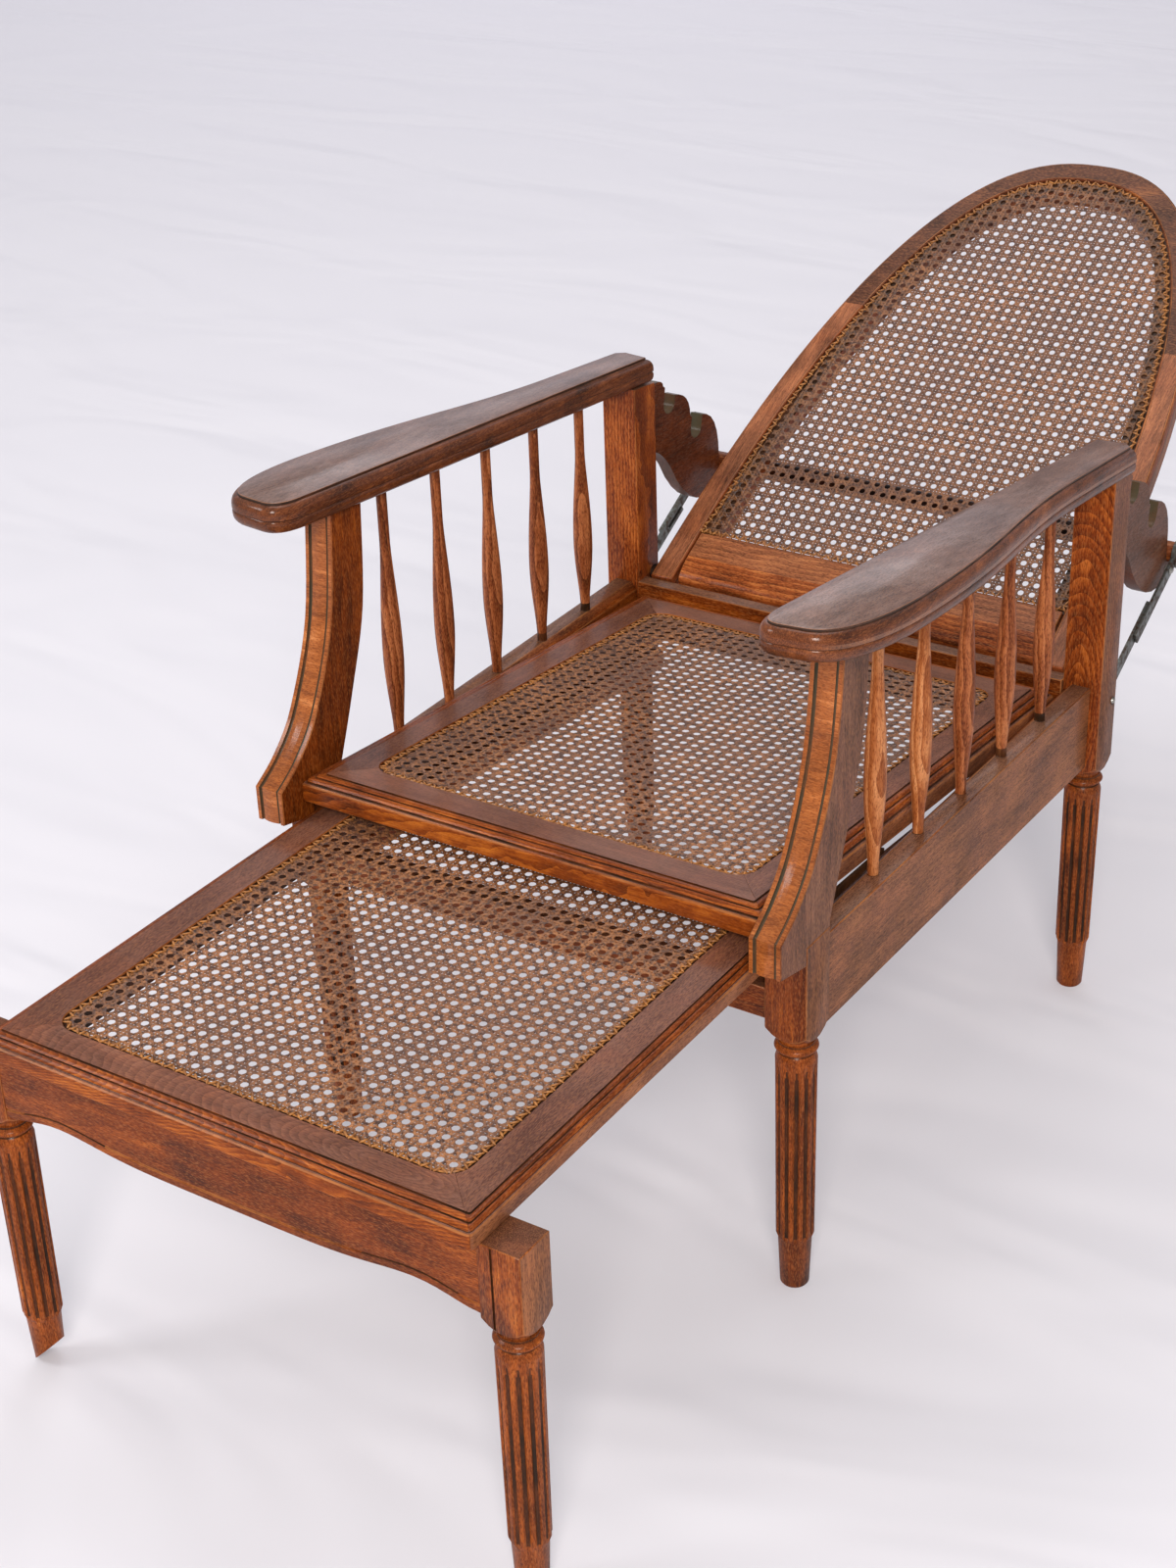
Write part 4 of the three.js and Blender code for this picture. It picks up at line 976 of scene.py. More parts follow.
@dataclass
class ArmPair:
    """The two flat arms, bowed outside and straight inside, with a quirk, an ovolo and a bead."""

    inner_x: float = 256.4
    inner_taper: float = 0.0277
    rear_y: float = 288.0
    front_y: float = -367.0
    front_round: float = 34.0
    tail_width: float = 36.6
    bow: float = 27.0
    bow_y: float = -235.0
    nose: float = 7.0
    low_z: float = -16.0
    edge_z: float = -12.5
    steps: int = 9

    def inner(self, y: float) -> float:
        """Gives the place of the straight inner edge."""
        return self.inner_x + self.inner_taper * y

    def plan(self) -> list[Point2]:
        """Gives the outline of the right arm's flat top, anticlockwise seen from above."""
        start_y = self.front_y + self.front_round
        tail_x = self.inner(self.rear_y) + self.tail_width
        bow_x = tail_x + self.bow
        curve = [(self.inner(start_y), start_y)]
        nose = ((self.inner(start_y), start_y), (self.inner(self.front_y), self.front_y),
                (self.inner(self.front_y) + self.front_round / 2, self.front_y))
        for k in range(1, self.steps + 1):
            t = k / self.steps
            curve.append(tuple((1 - t) ** 2 * a + 2 * t * (1 - t) * b + t * t * c
                               for a, b, c in zip(*nose)))
        sweeps = (
            ((bow_x - self.front_round - self.nose, self.front_y + self.nose / 2),
             (bow_x - self.front_round / 3, self.front_y + self.nose),
             (bow_x, self.bow_y - self.front_round * 2), (bow_x, self.bow_y)),
            ((bow_x, self.bow_y), (bow_x, self.bow_y / 4), (tail_x, 0.0),
             (tail_x, self.rear_y / 2)),
        )
        for sweep in sweeps:
            for k in range(2 * self.steps + 1):
                t = k / (2 * self.steps)
                weights = ((1 - t) ** 3, 3 * t * (1 - t) ** 2, 3 * t * t * (1 - t), t ** 3)
                spot = tuple(sum(w * p[axis] for w, p in zip(weights, sweep)) for axis in (0, 1))
                if hypot(spot[0] - curve[-1][0], spot[1] - curve[-1][1]) > 0.5:
                    curve.append(spot)
        curve += [(tail_x, self.rear_y - self.nose), (tail_x - self.nose, self.rear_y),
                  (self.inner(self.rear_y), self.rear_y)]
        return curve

    def build(self) -> None:
        """Builds and dresses the arms."""
        piece = Piece("arm_right_board", "frame", "aged_wood", ("arm_right",))
        widest = grown(self.plan(), self.nose)
        low, high = piece.board(widest, 2, self.low_z, (self.edge_z,))
        rub, dark, side = Wear.RUBBED, Wear.DARKENED, Wear.SHELTERED
        # The quirk bands are painted dark as shade; the ovolo and bead bands take little of the
        # painted light
        piece.moulded(high, ((0.3, 3.0, side), (1.0, 2.8, side), (1.8, 2.4, side),
                             (2.2, 1.3, side), (0.9, 0.1, side), (0.45, 0.0, dark),
                             (0.15, 2.2, dark), (0.5, 0.35, rub)))
        piece.moulded(low, ((0.9, 0.0, dark), (0.15, 1.0, dark), (-0.7, 0.8, side),
                            (-0.3, 2.0, side), (0.2, 3.0, side), (0.9, 2.8, side),
                            (2.2, 2.4, side), (2.6, 1.2, side)))
        piece.move(sheared(2, 1, -ARM_FALL, ARM_TOP_Z))
        # Painted light: the greyish top tint stands in for the sheen on the arms' tops
        pair(piece, FINISHES.beech(Grain.ALONG, "arm", deep="#2a1107", warm="#86451f",
                                   bright="#a8683a", aged_deep="#5f4b45", aged_top="#94807b",
                                   shellac=0.45, band_share=0.08, fleck_share=0.35))


@dataclass
class BracketPair:
    """The S-curved brackets under the arms, grooved beside a raised middle."""

    inner: float = 252.5
    outer: float = 284.5
    fillet: float = 4.6
    groove: float = 2.6
    groove_depth: float = 2.0
    crown: float = 1.3
    arris: float = 0.9
    neck_y: float = -287.0
    neck_rear_y: float = -242.0
    toe_y: float = -395.0
    toe_z: float = 412.0
    toe_foot_z: float = 377.0
    heel: Point2 = (-349.3, 367.0)
    seat_z: float = 385.3
    back_foot: Point2 = (-307.0, 393.3)
    # Place along y and share of the height from the toe to the arm, down the front and up the back
    front_shares: tuple[Point2, ...] = ((-301.0, 0.563), (-334.0, 0.236), (-364.5, 0.118))
    rear_shares: tuple[Point2, ...] = ((-277.0, 0.236), (-251.0, 0.563))
    toe_hollow: float = 8.0
    front_limit_y: float = -279.0
    curve_steps: int = 6

    def crowning(self, x: float) -> float:
        """Gives how far the front stands out at a place across the bracket."""
        edge = min(x - self.inner, self.outer - x)
        if edge < self.fillet + 0.1:
            return 0.0
        if edge < self.fillet + self.groove + 0.1:
            return -self.groove_depth
        half = (self.outer - self.inner) / 2 - self.fillet - self.groove
        share = (edge - self.fillet - self.groove) / half
        return -self.crown * (1 - sin(pi / 2 * min(1.0, share)))

    def stations(self) -> list[float]:
        """Gives the places across the bracket where its section changes."""
        f, g, width = self.fillet, self.groove, self.outer - self.inner
        half = [f, f + 0.35, f + g - 0.2, f + g + 0.3, f + g + 2.4, f + g + 5.4]
        far = [width - place for place in reversed(half)]
        return [self.inner + place for place in (*half, width / 2, *far, width)]

    def outline(self) -> tuple[list[Point2], int]:
        """Gives the bracket's outline seen from the side, and how many points make its face."""
        neck = (self.neck_y, arm_underside(self.neck_y) - SEAM)
        neck_rear = (self.neck_rear_y, arm_underside(self.neck_rear_y) - SEAM)
        tall = neck[1] - self.toe_z
        falls = [(y, self.toe_z + tall * share) for y, share in self.front_shares]
        falls[-1] = (falls[-1][0], falls[-1][1] - self.toe_hollow)
        front = eased_line([neck, *falls, (self.toe_y, self.toe_z)], self.curve_steps)
        climbs = [(y, self.toe_z + tall * share) for y, share in self.rear_shares]
        rear = eased_line([self.back_foot, *climbs, neck_rear], self.curve_steps)
        foot = [(self.toe_y, self.toe_foot_z), self.heel, (self.heel[0], self.seat_z),
                (self.back_foot[0], self.seat_z)]
        return [*front, *foot, *rear], len(front) + 1

    def raise_face(self, piece: Piece, outline: list[Point2], faced: int) -> None:
        """Sinks the grooves and crowns the middle along the face's own normals."""
        before = (outline[0][0], outline[0][1] + 5)
        spots = []
        for i, here in enumerate(outline[:faced]):
            after = outline[i + 1] if i < faced - 1 else (here[0], here[1] - 5)
            along = (Vector(after) - Vector(before)).normalized()
            way = Vector((along.y, -along.x)) if along.y < 0 else Vector((-1.0, 0.0))
            spots.append((here, way))
            before = here
        for corner in piece.mesh.verts:
            for spot, way in spots:
                if abs(corner.co.y - spot[0]) < 0.01 and abs(corner.co.z - spot[1]) < 0.01:
                    out = self.crowning(corner.co.x)
                    corner.co.y += way[0] * out
                    corner.co.z += way[1] * out
                    break

    def build(self) -> None:
        """Builds and dresses the brackets."""
        outline, faced = self.outline()
        piece = Piece("bracket_right", "frame", "aged_wood", ("arm_bracket_right",))
        piece.board(outline, 0, self.inner, self.stations())
        self.raise_face(piece, outline, faced)
        # The grooves are darkened with greenish dirt and painted shade; the forward and upward faces
        # take a brighter copy of the finish as painted light
        for face in piece.mesh.faces:
            middle = face.calc_center_median()
            edge = min(middle.x - self.inner, self.outer - middle.x)
            forward = middle.y < self.front_limit_y
            if self.fillet < edge < self.fillet + self.groove + 0.3 and forward and (
                    middle.y < self.neck_y - 3 or middle.z > self.toe_z + 68):
                face.material_index = Wear.DARKENED.value
            elif edge > 0.1 and (face.normal.y < -0.2 or face.normal.z > 0.5) and forward:
                face.material_index = len(Wear)
        middle_x, half = (self.inner + self.outer) / 2, (self.outer - self.inner) / 2
        piece.eased(self.arris, lambda edge: abs(edge.verts[0].co.x - edge.verts[1].co.x) < 0.01
                    and max(abs(v.co.x - middle_x) for v in edge.verts) > half - 0.1)
        # Painted light: a side tint, and a brighter copy of the finish for the forward faces
        pair(piece, FINISHES.beech(Grain.UPRIGHT, "bracket", aged_side="#96684f", filled="#4a4334")
             + FINISHES.beech(Grain.ACROSS, "bracket_face", deep="#6a3416", warm="#cf7636",
                              bright="#eeb077", ageing=0.1, shellac=0.4))


@dataclass
class SpindleRows:
    """Five slim turned spindles under each arm, of which the foremost right ones are paler, as painted
    light.
    """

    count: int = 5
    row_x: float = 270.0
    first_y: float = -193.2
    pitch: float = 88.1
    base_z: float = 374.6
    end_radius: float = 5.2
    bulge_radius: float = 10.4
    bulge_share: float = 0.35
    neck_share: float = 0.78
    filled_height: float = 5.0
    top_reach: float = 5.0
    rows: int = 28
    sides: int = 28
    pale_count: int = 2

    def swell(self, share: float) -> float:
        """Gives the share of the bulge that stands out at a share of the height."""
        if share < self.bulge_share:
            part = share / self.bulge_share
            return sin(pi / 2 * max(0.0, (part - 0.08) / 0.92)) ** 1.5
        part = (share - self.bulge_share) / (self.neck_share - self.bulge_share)
        return max(0.0, cos(pi / 2 * min(1.0, part))) ** 1.35

    def build(self) -> None:
        """Builds and dresses the spindles."""
        # Painted light: the foremost right spindles take a paler copy of the finish
        pale = FINISHES.beech(Grain.UPRIGHT, "spindle_pale", ageing=0.12, deep="#6a2f14",
                              warm="#c0703a", bright="#e2a673", ring_share=0.45)
        brown = FINISHES.beech(Grain.UPRIGHT, "spindle", ageing=0.12, deep="#431c0b",
                               warm="#a0522a", bright="#c98454", ring_share=0.45)
        for k in range(self.count):
            y = self.first_y + self.pitch * k
            top = arm_underside(y + self.top_reach) - SEAM
            tall = top - self.base_z - 0.6
            profile = [(0.0, self.base_z), (self.end_radius + 0.4, self.base_z)]
            for i in range(self.rows + 1):
                share = i / self.rows
                out = (self.bulge_radius - self.end_radius) * self.swell(share)
                profile.append((self.end_radius + out, self.base_z + 0.5 + tall * share))
            profile += [(self.end_radius, top), (0.0, top)]
            name = f"spindle_{k + 1}_right"
            piece = Piece(f"turned_{name}", "frame", "stained_wood", (name,))
            piece.turned(profile, self.sides)
            # Each spindle is darkened at its foot
            for face in piece.mesh.faces:
                if face.calc_center_median().z < self.base_z + self.filled_height:
                    face.material_index = Wear.DARKENED.value
            piece.move(Matrix.Translation((self.row_x + SIDE_TAPER * y, y, 0.0)))
            pair(piece, pale if k < self.pale_count else brown, brown)


@dataclass
class RailSet:
    """Side rails, cross rails, racks, bar, runners and shoes: squared stock with eased arrises."""

    arris: float = 0.9
    rack_arris: float = 1.6
    bar_arris: float = 0.6
    finishes: dict[str, dict[str, Any]] = field(default_factory=lambda: {
        # Painted light: the side tints in these finishes stand in for sheen; the bar's near-black
        # colour is painted shadow
        "rack_right": {"kind": "rack", "deep": "#331507", "warm": "#86401a", "bright": "#a8622e",
                       "aged_side": "#7a4d35", "filled": "#45402f", "rubbed": "#6d625b"},
        "support_bar": {"kind": "bar", "warm": "#8a4524", "filled": "#0c0705", "ageing": 0.3}})
    shaded_half: float = 246.0
    # Place of the dark lip, a strip of painted shade in the gap under the seat
    lip_x: Point2 = (253.4, 256.6)
    lip_y: Point2 = (-306.0, -150.0)
    lip_z: float = 372.0
    lip_top_z: Point2 = (383.5, 376.5)

    def squared(self, node: str, body: str, grain: Grain, arris: float, two: bool = False) -> None:
        """Dresses one piece of squared stock from the CAD form.

        Args:
            node: CAD node that gives the form.
            body: Body that the piece rides on.
            grain: Way its grain runs.
            arris: Width taken off its arrises.
            two: Whether it has a left-hand twin.
        """
        name = f"stock_{node}" if two else f"{node}_stock"
        piece = Piece(name, body, "stained_wood", (node,))
        piece.from_node(node)
        piece.eased(arris)
        if node.startswith("rack"):
            for face in piece.mesh.faces:
                if abs(face.normal.x) < 0.5:
                    upper = face.normal.z > 0.1
                    face.material_index = (Wear.DARKENED if upper else Wear.RUBBED).value
        if body == "support":
            self.shaded(piece)
        if node.startswith("side_rail"):
            self.guarded(piece)
        materials = FINISHES.beech(grain, **self.finishes.get(node, {}))
        if two:
            pair(piece, materials)
        else:
            piece.hand_over(materials)

    def shaded(self, piece: Piece) -> None:
        """Darkens the bar where it lies close behind the cane, as painted shadow."""
        for side in (-1, 1):
            bmesh.ops.bisect_plane(piece.mesh, geom=piece.whole(), dist=1e-4,
                                   plane_co=(side * self.shaded_half, 0.0, 0.0),
                                   plane_no=(1.0, 0.0, 0.0))
        outlook = TO_BACK.to_3x3() @ Vector((0.0, 0.0, 1.0))
        for face in piece.mesh.faces:
            behind = abs(face.calc_center_median().x) < self.shaded_half
            face.material_index = (Wear.DARKENED if behind and face.normal.dot(outlook) > 0.2
                                   else Wear.PLAIN).value

    def guarded(self, piece: Piece) -> None:
        """Adds the dark lip that closes the gap between a rail and the seat above it, as painted
        shade.
        """
        lip = Piece("lip", piece.body, piece.slot)
        (front, rear), (front_top, rear_top) = self.lip_y, self.lip_top_z
        lip.board([(front, self.lip_z), (front, front_top), (rear, rear_top), (rear, self.lip_z)],
                  0, self.lip_x[0], self.lip_x[1:])
        for face in lip.mesh.faces:
            face.material_index = Wear.DARKENED.value
        piece.join(lip)

    def build(self) -> None:
        """Builds and dresses the squared stock."""
        self.squared("side_rail_right", "frame", Grain.ALONG, self.arris, two=True)
        self.squared("front_cross_rail", "frame", Grain.ACROSS, self.arris)
        self.squared("rear_cross_rail", "frame", Grain.ACROSS, self.arris)
        self.squared("rack_right", "frame", Grain.ALONG, self.rack_arris, two=True)
        self.squared("support_bar", "support", Grain.ACROSS, self.bar_arris)
        carried_over(("footrest_runner_left", "footrest_runner_right", "footrest_shoe_left",
                      "footrest_shoe_right"), FINISHES.beech(Grain.ALONG)[0])


@dataclass
class MouldedFrame:
    """A caned frame: four mitred members with two reeds round the edge and a ledge for the cane."""

    name: str
    body: str
    nodes: tuple[str, str, str, str]
    low: Point2
    high: Point2
    opening_low: Point2
    opening_high: Point2
    side_edge: float
    front_edge: float
    rear_edge: float
    thickness: float
    place: Matrix
    corner: float = 22.0
    ledge: float = 7.0
    ledge_drop: float = 3.4
    bearing: float = 8.0
    gap: float = 0.12

    def over_wood(self, x: float, y: float) -> bool:
        """Says whether a place in the cane lies over the ledge."""
        (x0, y0), (x1, y1) = self.opening_low, self.opening_high
        return not (x0 + self.bearing < x < x1 - self.bearing
                    and y0 + self.bearing < y < y1 - self.bearing)

    def hole(self, inset: float, z: float) -> list[Point3]:
        """Gives the opening's edge, drawn in and at a height."""
        (x0, y0), (x1, y1) = self.opening_low, self.opening_high
        return [(x, y, z) for x, y in rounded((x0 + inset, y0 + inset), (x1 - inset, y1 - inset),
                                              self.corner - inset)]

    def section(self) -> list[tuple[float, float, Wear]]:
        """Gives the moulding as share of the edge width, height and wear, from the quirk down."""
        plain, dark, rub, reed = Wear.PLAIN, Wear.DARKENED, Wear.RUBBED, Wear.SHELTERED
        t = self.thickness / 27.5
        # The quirks are painted dark as shade; the reeds take little of the painted light
        return [(0.0, 0.0, plain), (0.012, -1.4, dark), (0.045, -1.7, dark),
                (0.08, -1.1, reed), (0.2, -0.7, reed), (0.32, -1.2, reed),
                (0.405, -2.6, reed), (0.415, -3.7, dark), (0.445, -4.0, dark),
                (0.49, -3.2, reed), (0.6, -3.0, reed), (0.7, -4.1, reed),
                (0.775, -6.2, reed), (0.78, -7.9 * t, dark), (0.81, -8.4 * t, dark),
                (0.9, -8.5 * t, plain), (0.975, -10.2 * t, rub), (1.0, -12.4 * t, plain),
                (1.0, -self.thickness + 1.2, plain), (0.94, -self.thickness, rub)]

    def loops(self) -> tuple[list[list[Point3]], list[Wear]]:
        """Gives the frame's loops from the cane's ledge, out over the moulding and back below."""
        loops = [self.hole(self.ledge, -self.thickness), self.hole(self.ledge, -self.ledge_drop),
                 self.hole(0.8, -self.ledge_drop), self.hole(0.0, -1.4), self.hole(-0.5, 0.0)]
        # The cane's ledge and its step are painted dark as shade
        kinds = [Wear.DARKENED, Wear.DARKENED, Wear.DARKENED, Wear.RUBBED]
        for out, z, kind in self.section():
            ring = rounded((self.low[0] - self.side_edge * out, self.low[1] - self.front_edge * out),
                           (self.high[0] + self.side_edge * out, self.high[1] + self.rear_edge * out),
                           1.5 + 3 * out)
            loops.append([(x, y, z) for x, y in ring])
            kinds.append(kind)
        return loops, [*kinds, Wear.PLAIN]

    def member(self, name: str, node: str, cuts: Iterable[tuple[Point3, Point3]],
               materials: list[bpy.types.Material]) -> None:
        """Cuts one member out of the moulded ring and dresses it."""
        piece = Piece(name, self.body, "aged_wood", (node,))
        piece.swept(*self.loops())
        for spot, away in cuts:
            piece.cut(spot, away)
        piece.move(self.place)
        piece.hand_over(materials, 30.0)

    def seam(self, spot: Vector, away: Vector, side: int = 1) -> tuple[Vector, Vector]:
        """Gives the cut of a mitre, short of its seam, on the right or with side -1 on the left."""
        turn = Matrix.Diagonal((side, 1.0, 1.0))
        return turn @ (spot - away * self.gap), turn @ away

    def build(self) -> None:
        """Builds and dresses the four members."""
        (_, y0), (x1, y1) = self.opening_low, self.opening_high
        front_y, rear_y = self.low[1] - self.front_edge, self.high[1] + self.rear_edge
        outer = self.high[0] + self.side_edge
        lean_front = Vector((outer - x1, front_y - y0, 0.0)).normalized()
        lean_rear = Vector((outer - x1, rear_y - y1, 0.0)).normalized()
        across_front = Vector((-lean_front.y, lean_front.x, 0.0))
        across_rear = Vector((lean_rear.y, -lean_rear.x, 0.0))
        front_right, rear_right = Vector((x1, y0, 0.0)), Vector((x1, y1, 0.0))
        # Painted light: the top tints of these finishes stand in for sheen and shade
        across = FINISHES.beech(Grain.ACROSS, "frame", band_share=0.06, ring_share=0.34,
                                fleck_share=0.3, ring_spacing_mm=2.4, pith_mm=(0.0, 823.0, -330.0),
                                pith_lean=(0.25, 0.0), aged_deep="#573629", aged_top="#875d4d")
        along = FINISHES.beech(Grain.ALONG, "frame", band_share=0.07, ring_share=0.1,
                               fleck_share=0.5, aged_deep="#5a382c", aged_top="#875d4d")
        self.member(f"{self.name}_front_member", self.nodes[0], [
            self.seam(front_right, across_front, side) for side in (1, -1)], across)
        self.member(f"{self.name}_rear_member", self.nodes[1], [
            self.seam(rear_right, across_rear, side) for side in (1, -1)], across)
        for side, label, node in ((1, "right", self.nodes[2]), (-1, "left", self.nodes[3])):
            self.member(f"{self.name}_side_member_{label}", node, (
                ((0.0, 0.0, 0.0), (-side, 0.0, 0.0)),
                self.seam(front_right, -across_front, side),
                self.seam(rear_right, -across_rear, side)), along)


@dataclass
class ApronBoard:
    """The footrest's apron, with a scored line that follows its waved lower edge."""

    half: float = 245.7
    front_y: float = -789.0
    depth: float = 22.0
    top: float = 358.9
    mid_z: float = 290.0
    rise: float = 9.0
    wave_power: float = 2.4
    arris: float = 0.9
    columns: int = 48
    # Height above the lower edge and depth of each row, with the scored line from 7 to 9.1 mm up
    rows: tuple[Point2, ...] = ((0.0, 0.0), (7.0, 0.0), (7.5, 1.1), (8.6, 1.1), (9.1, 0.0),
                                (20.0, 0.0))

    def lower(self, x: float) -> float:
        """Gives the height of the lower edge."""
        share = min(1.0, abs(x) / self.half)
        return self.mid_z + self.rise * sin(pi * share ** self.wave_power) ** 2

    def build(self) -> None:
        """Builds and dresses the apron."""
        piece = Piece("apron_board", "footrest", "stained_wood", ("footrest_apron",))
        bm, last = piece.mesh, len(self.rows)
        bmesh.ops.create_grid(bm, x_segments=self.columns, y_segments=last, size=0.5)
        for corner in bm.verts:
            x = corner.co.x * 2 * self.half
            row = round((corner.co.y + 0.5) * last)
            up, inwards = self.rows[row] if row < last else (self.top - self.lower(x), 0.0)
            corner.co = (x, self.front_y + inwards, self.lower(x) + up)
        # The scored line's faces are painted dark as shade
        for face in bm.faces:
            if abs(face.calc_center_median().y - self.front_y) > 0.3:
                face.material_index = Wear.DARKENED.value
        deepened = bmesh.ops.extrude_face_region(bm, geom=bm.faces[:], use_keep_orig=True)["geom"]
        for part in deepened:
            if isinstance(part, bmesh.types.BMVert):
                part.co.y = self.front_y + self.depth
            if isinstance(part, bmesh.types.BMFace):
                part.material_index = Wear.PLAIN.value
        bmesh.ops.recalc_face_normals(bm, faces=bm.faces)
        limit = self.mid_z + self.rise + 3
        piece.eased(self.arris, lambda edge: max(v.co.z for v in edge.verts) < limit
                    and abs(edge.verts[0].co.z - edge.verts[1].co.z) < 5)
        piece.hand_over(FINISHES.beech(Grain.ACROSS), 30.0)


@dataclass
class BackFrame:
    """The arched back: two stiles, a crown and a bottom rail."""

    half_width: float = 252.3
    rise: float = 733.6
    below: float = 27.5
    power: float = 2.42
    opening_half: float = 224.7
    opening_rise: float = 706.3
    half_thickness: float = 13.0
    rail_top: float = 58.0
    seam_x: float = 222.0
    crown_seam: float = 430.7
    steps: int = 72
    ledge: float = 19.0
    ledge_drop: float = 3.4
    rail_ledge: float = 4.0
    rail_foot: float = -9.0
    seam_gap: float = 0.15
    arris: float = 0.9

    def cane_outline(self) -> list[Point2]:
        """Gives the outline of the opening that the cane fills."""
        return self.arch(self.opening_half, self.opening_rise, self.rail_top)

    def arch(self, half: float, rise: float, base: float) -> list[Point2]:
        """Gives an arch from its right foot over the crown to its left foot."""
        power = 2 / self.power
        start = asin(((base + self.below) / rise) ** (1 / power))
        points = []
        for i in range(self.steps + 1):
            angle = start + i / self.steps * (pi - 2 * start)
            reach = abs(cos(angle)) ** power
            points.append((half * (reach if cos(angle) > 0 else -reach),
                           rise * sin(angle) ** power - self.below))
        return points

    def over_wood(self, x: float, y: float) -> bool:
        """Says whether a place in the cane lies over the ledge of the arch."""
        half, rise = self.opening_half - self.ledge, self.opening_rise - self.ledge
        return (abs(x) / half) ** self.power + ((y + self.below) / rise) ** self.power > 1

    def hoop(self, name: str, node: str, cuts: Iterable[tuple[Point3, Point3]]) -> Piece:
        """Cuts one piece of the arched hoop, with its grooved face and the cane's ledge."""
        piece = Piece(name, "back", "aged_wood", (node,))
        t = self.half_thickness
        inner = self.arch(self.opening_half, self.opening_rise, -t)
        outline = [*self.arch(self.half_width, self.rise, -t), *reversed(inner)]
        low, high = piece.board(outline, 2, -t + 1.0, (1.0, 2.4, t - 2.2))
        # A band of the side is painted dark as the shade of a groove that is not cut, and the band
        # above it takes little of the painted light
        for face in piece.mesh.faces:
            if 1.0 < face.calc_center_median().z < 2.4:
                face.material_index = Wear.DARKENED.value
            elif 2.4 < face.calc_center_median().z < t - 2.3:
                face.material_index = Wear.SHELTERED.value
        # The last band is painted dark as shade
        piece.moulded(high, ((0.4, 1.2, Wear.PLAIN), (1.3, 0.8, Wear.PLAIN),
                             (1.0, 0.2, Wear.RUBBED), (0.4, 0.0, Wear.DARKENED)))
        piece.moulded(low, ((1.0, 1.0, Wear.PLAIN),))
        for spot, away in cuts:
            piece.cut(spot, away)
        shelf = Piece("shelf", "back", "aged_wood")
        foot = self.rail_top - 1
        kept = self.arch(self.opening_half + 1, self.opening_rise + 1, foot)
        ledge = self.arch(self.opening_half - self.ledge, self.opening_rise - self.ledge, foot)
        shelf.board([*kept, *reversed(ledge)], 2, -t + 1.0, (t - self.ledge_drop,))
        for spot, away in cuts:
            shelf.cut(spot, away)
        # The ledge under the cane's edge is painted dark as shade
        for face in shelf.mesh.faces:
            if face.normal.z > 0.5:
                face.material_index = Wear.DARKENED.value
        piece.join(shelf)
        return piece

    def bottom_rail(self) -> Piece:
        """Builds the bottom rail, whose lower front edge is rounded over."""
        t, top, foot = self.half_thickness, self.rail_top, self.rail_foot
        rail = Piece("bottom_rail_board", "back", "stained_wood", ("back_bottom_rail",))
        section = [(top + self.seam_gap, t), (top + self.seam_gap, t - self.ledge_drop),
                   (top + self.rail_ledge, t - self.ledge_drop), (top + self.rail_ledge, -t),
                   (foot, -t + 3.0), (foot, 0.0), (foot + 1.4, 4.2), (foot + 5.0, 7.6),
                   (foot + 10.5, 10.0), (foot + 18.0, 11.8), (foot + 27.0, 12.8),
                   (foot + 33.0, t)]
        rail.board(section, 0, -self.seam_x + self.seam_gap, (self.seam_x - self.seam_gap,))
        # The rounded front takes little of the painted light
        for face in rail.mesh.faces:
            middle = face.calc_center_median()
            if middle.y < foot + 32.0 and middle.z > 0.0 and abs(face.normal.x) < 0.5:
                face.material_index = Wear.SHELTERED.value
        rail.eased(self.arris)
        return rail

    def build(self) -> None:
        """Builds and dresses the back's frame."""
        # Painted light: the top and side tints stand in for sheen and shade; the stiles' tops are
        # painted lighter, the crown's darker
        wood = FINISHES.beech(Grain.UP_BACK, "stile", warm="#b3592a", aged_top="#c48360",
                              aged_side="#a46c4c", band_share=0.08, fleck_share=0.4)
        bent = FINISHES.beech(Grain.ACROSS, "crown", deep="#32150a", warm="#86452a",
                              aged_deep="#3c2317", aged_top="#6f4a37", aged_side="#7a5139",
                              band_share=0.08)
        across = FINISHES.beech(Grain.ACROSS, "back_rail", warm="#bb5c26", bright="#dc9550",
                                aged_deep="#6b3f28", aged_top="#b87c58", band_share=0.05,
                                ring_share=0.35)
        stile = self.hoop("stile_right", "back_stile_right", (
            ((0.0, 0.0, 0.0), (-1.0, 0.0, 0.0)),
            ((0.0, self.crown_seam - self.seam_gap, 0.0), (0.0, 1.0, 0.0))))
        stile.move(TO_BACK)
        pair(stile, wood)
        crown = self.hoop("crown_bend", "back_crown", (
            ((0.0, self.crown_seam + self.seam_gap, 0.0), (0.0, -1.0, 0.0)),))
        crown.move(TO_BACK)
        crown.hand_over(bent)
        rail = self.bottom_rail()
        rail.move(TO_BACK)
        rail.hand_over(across)


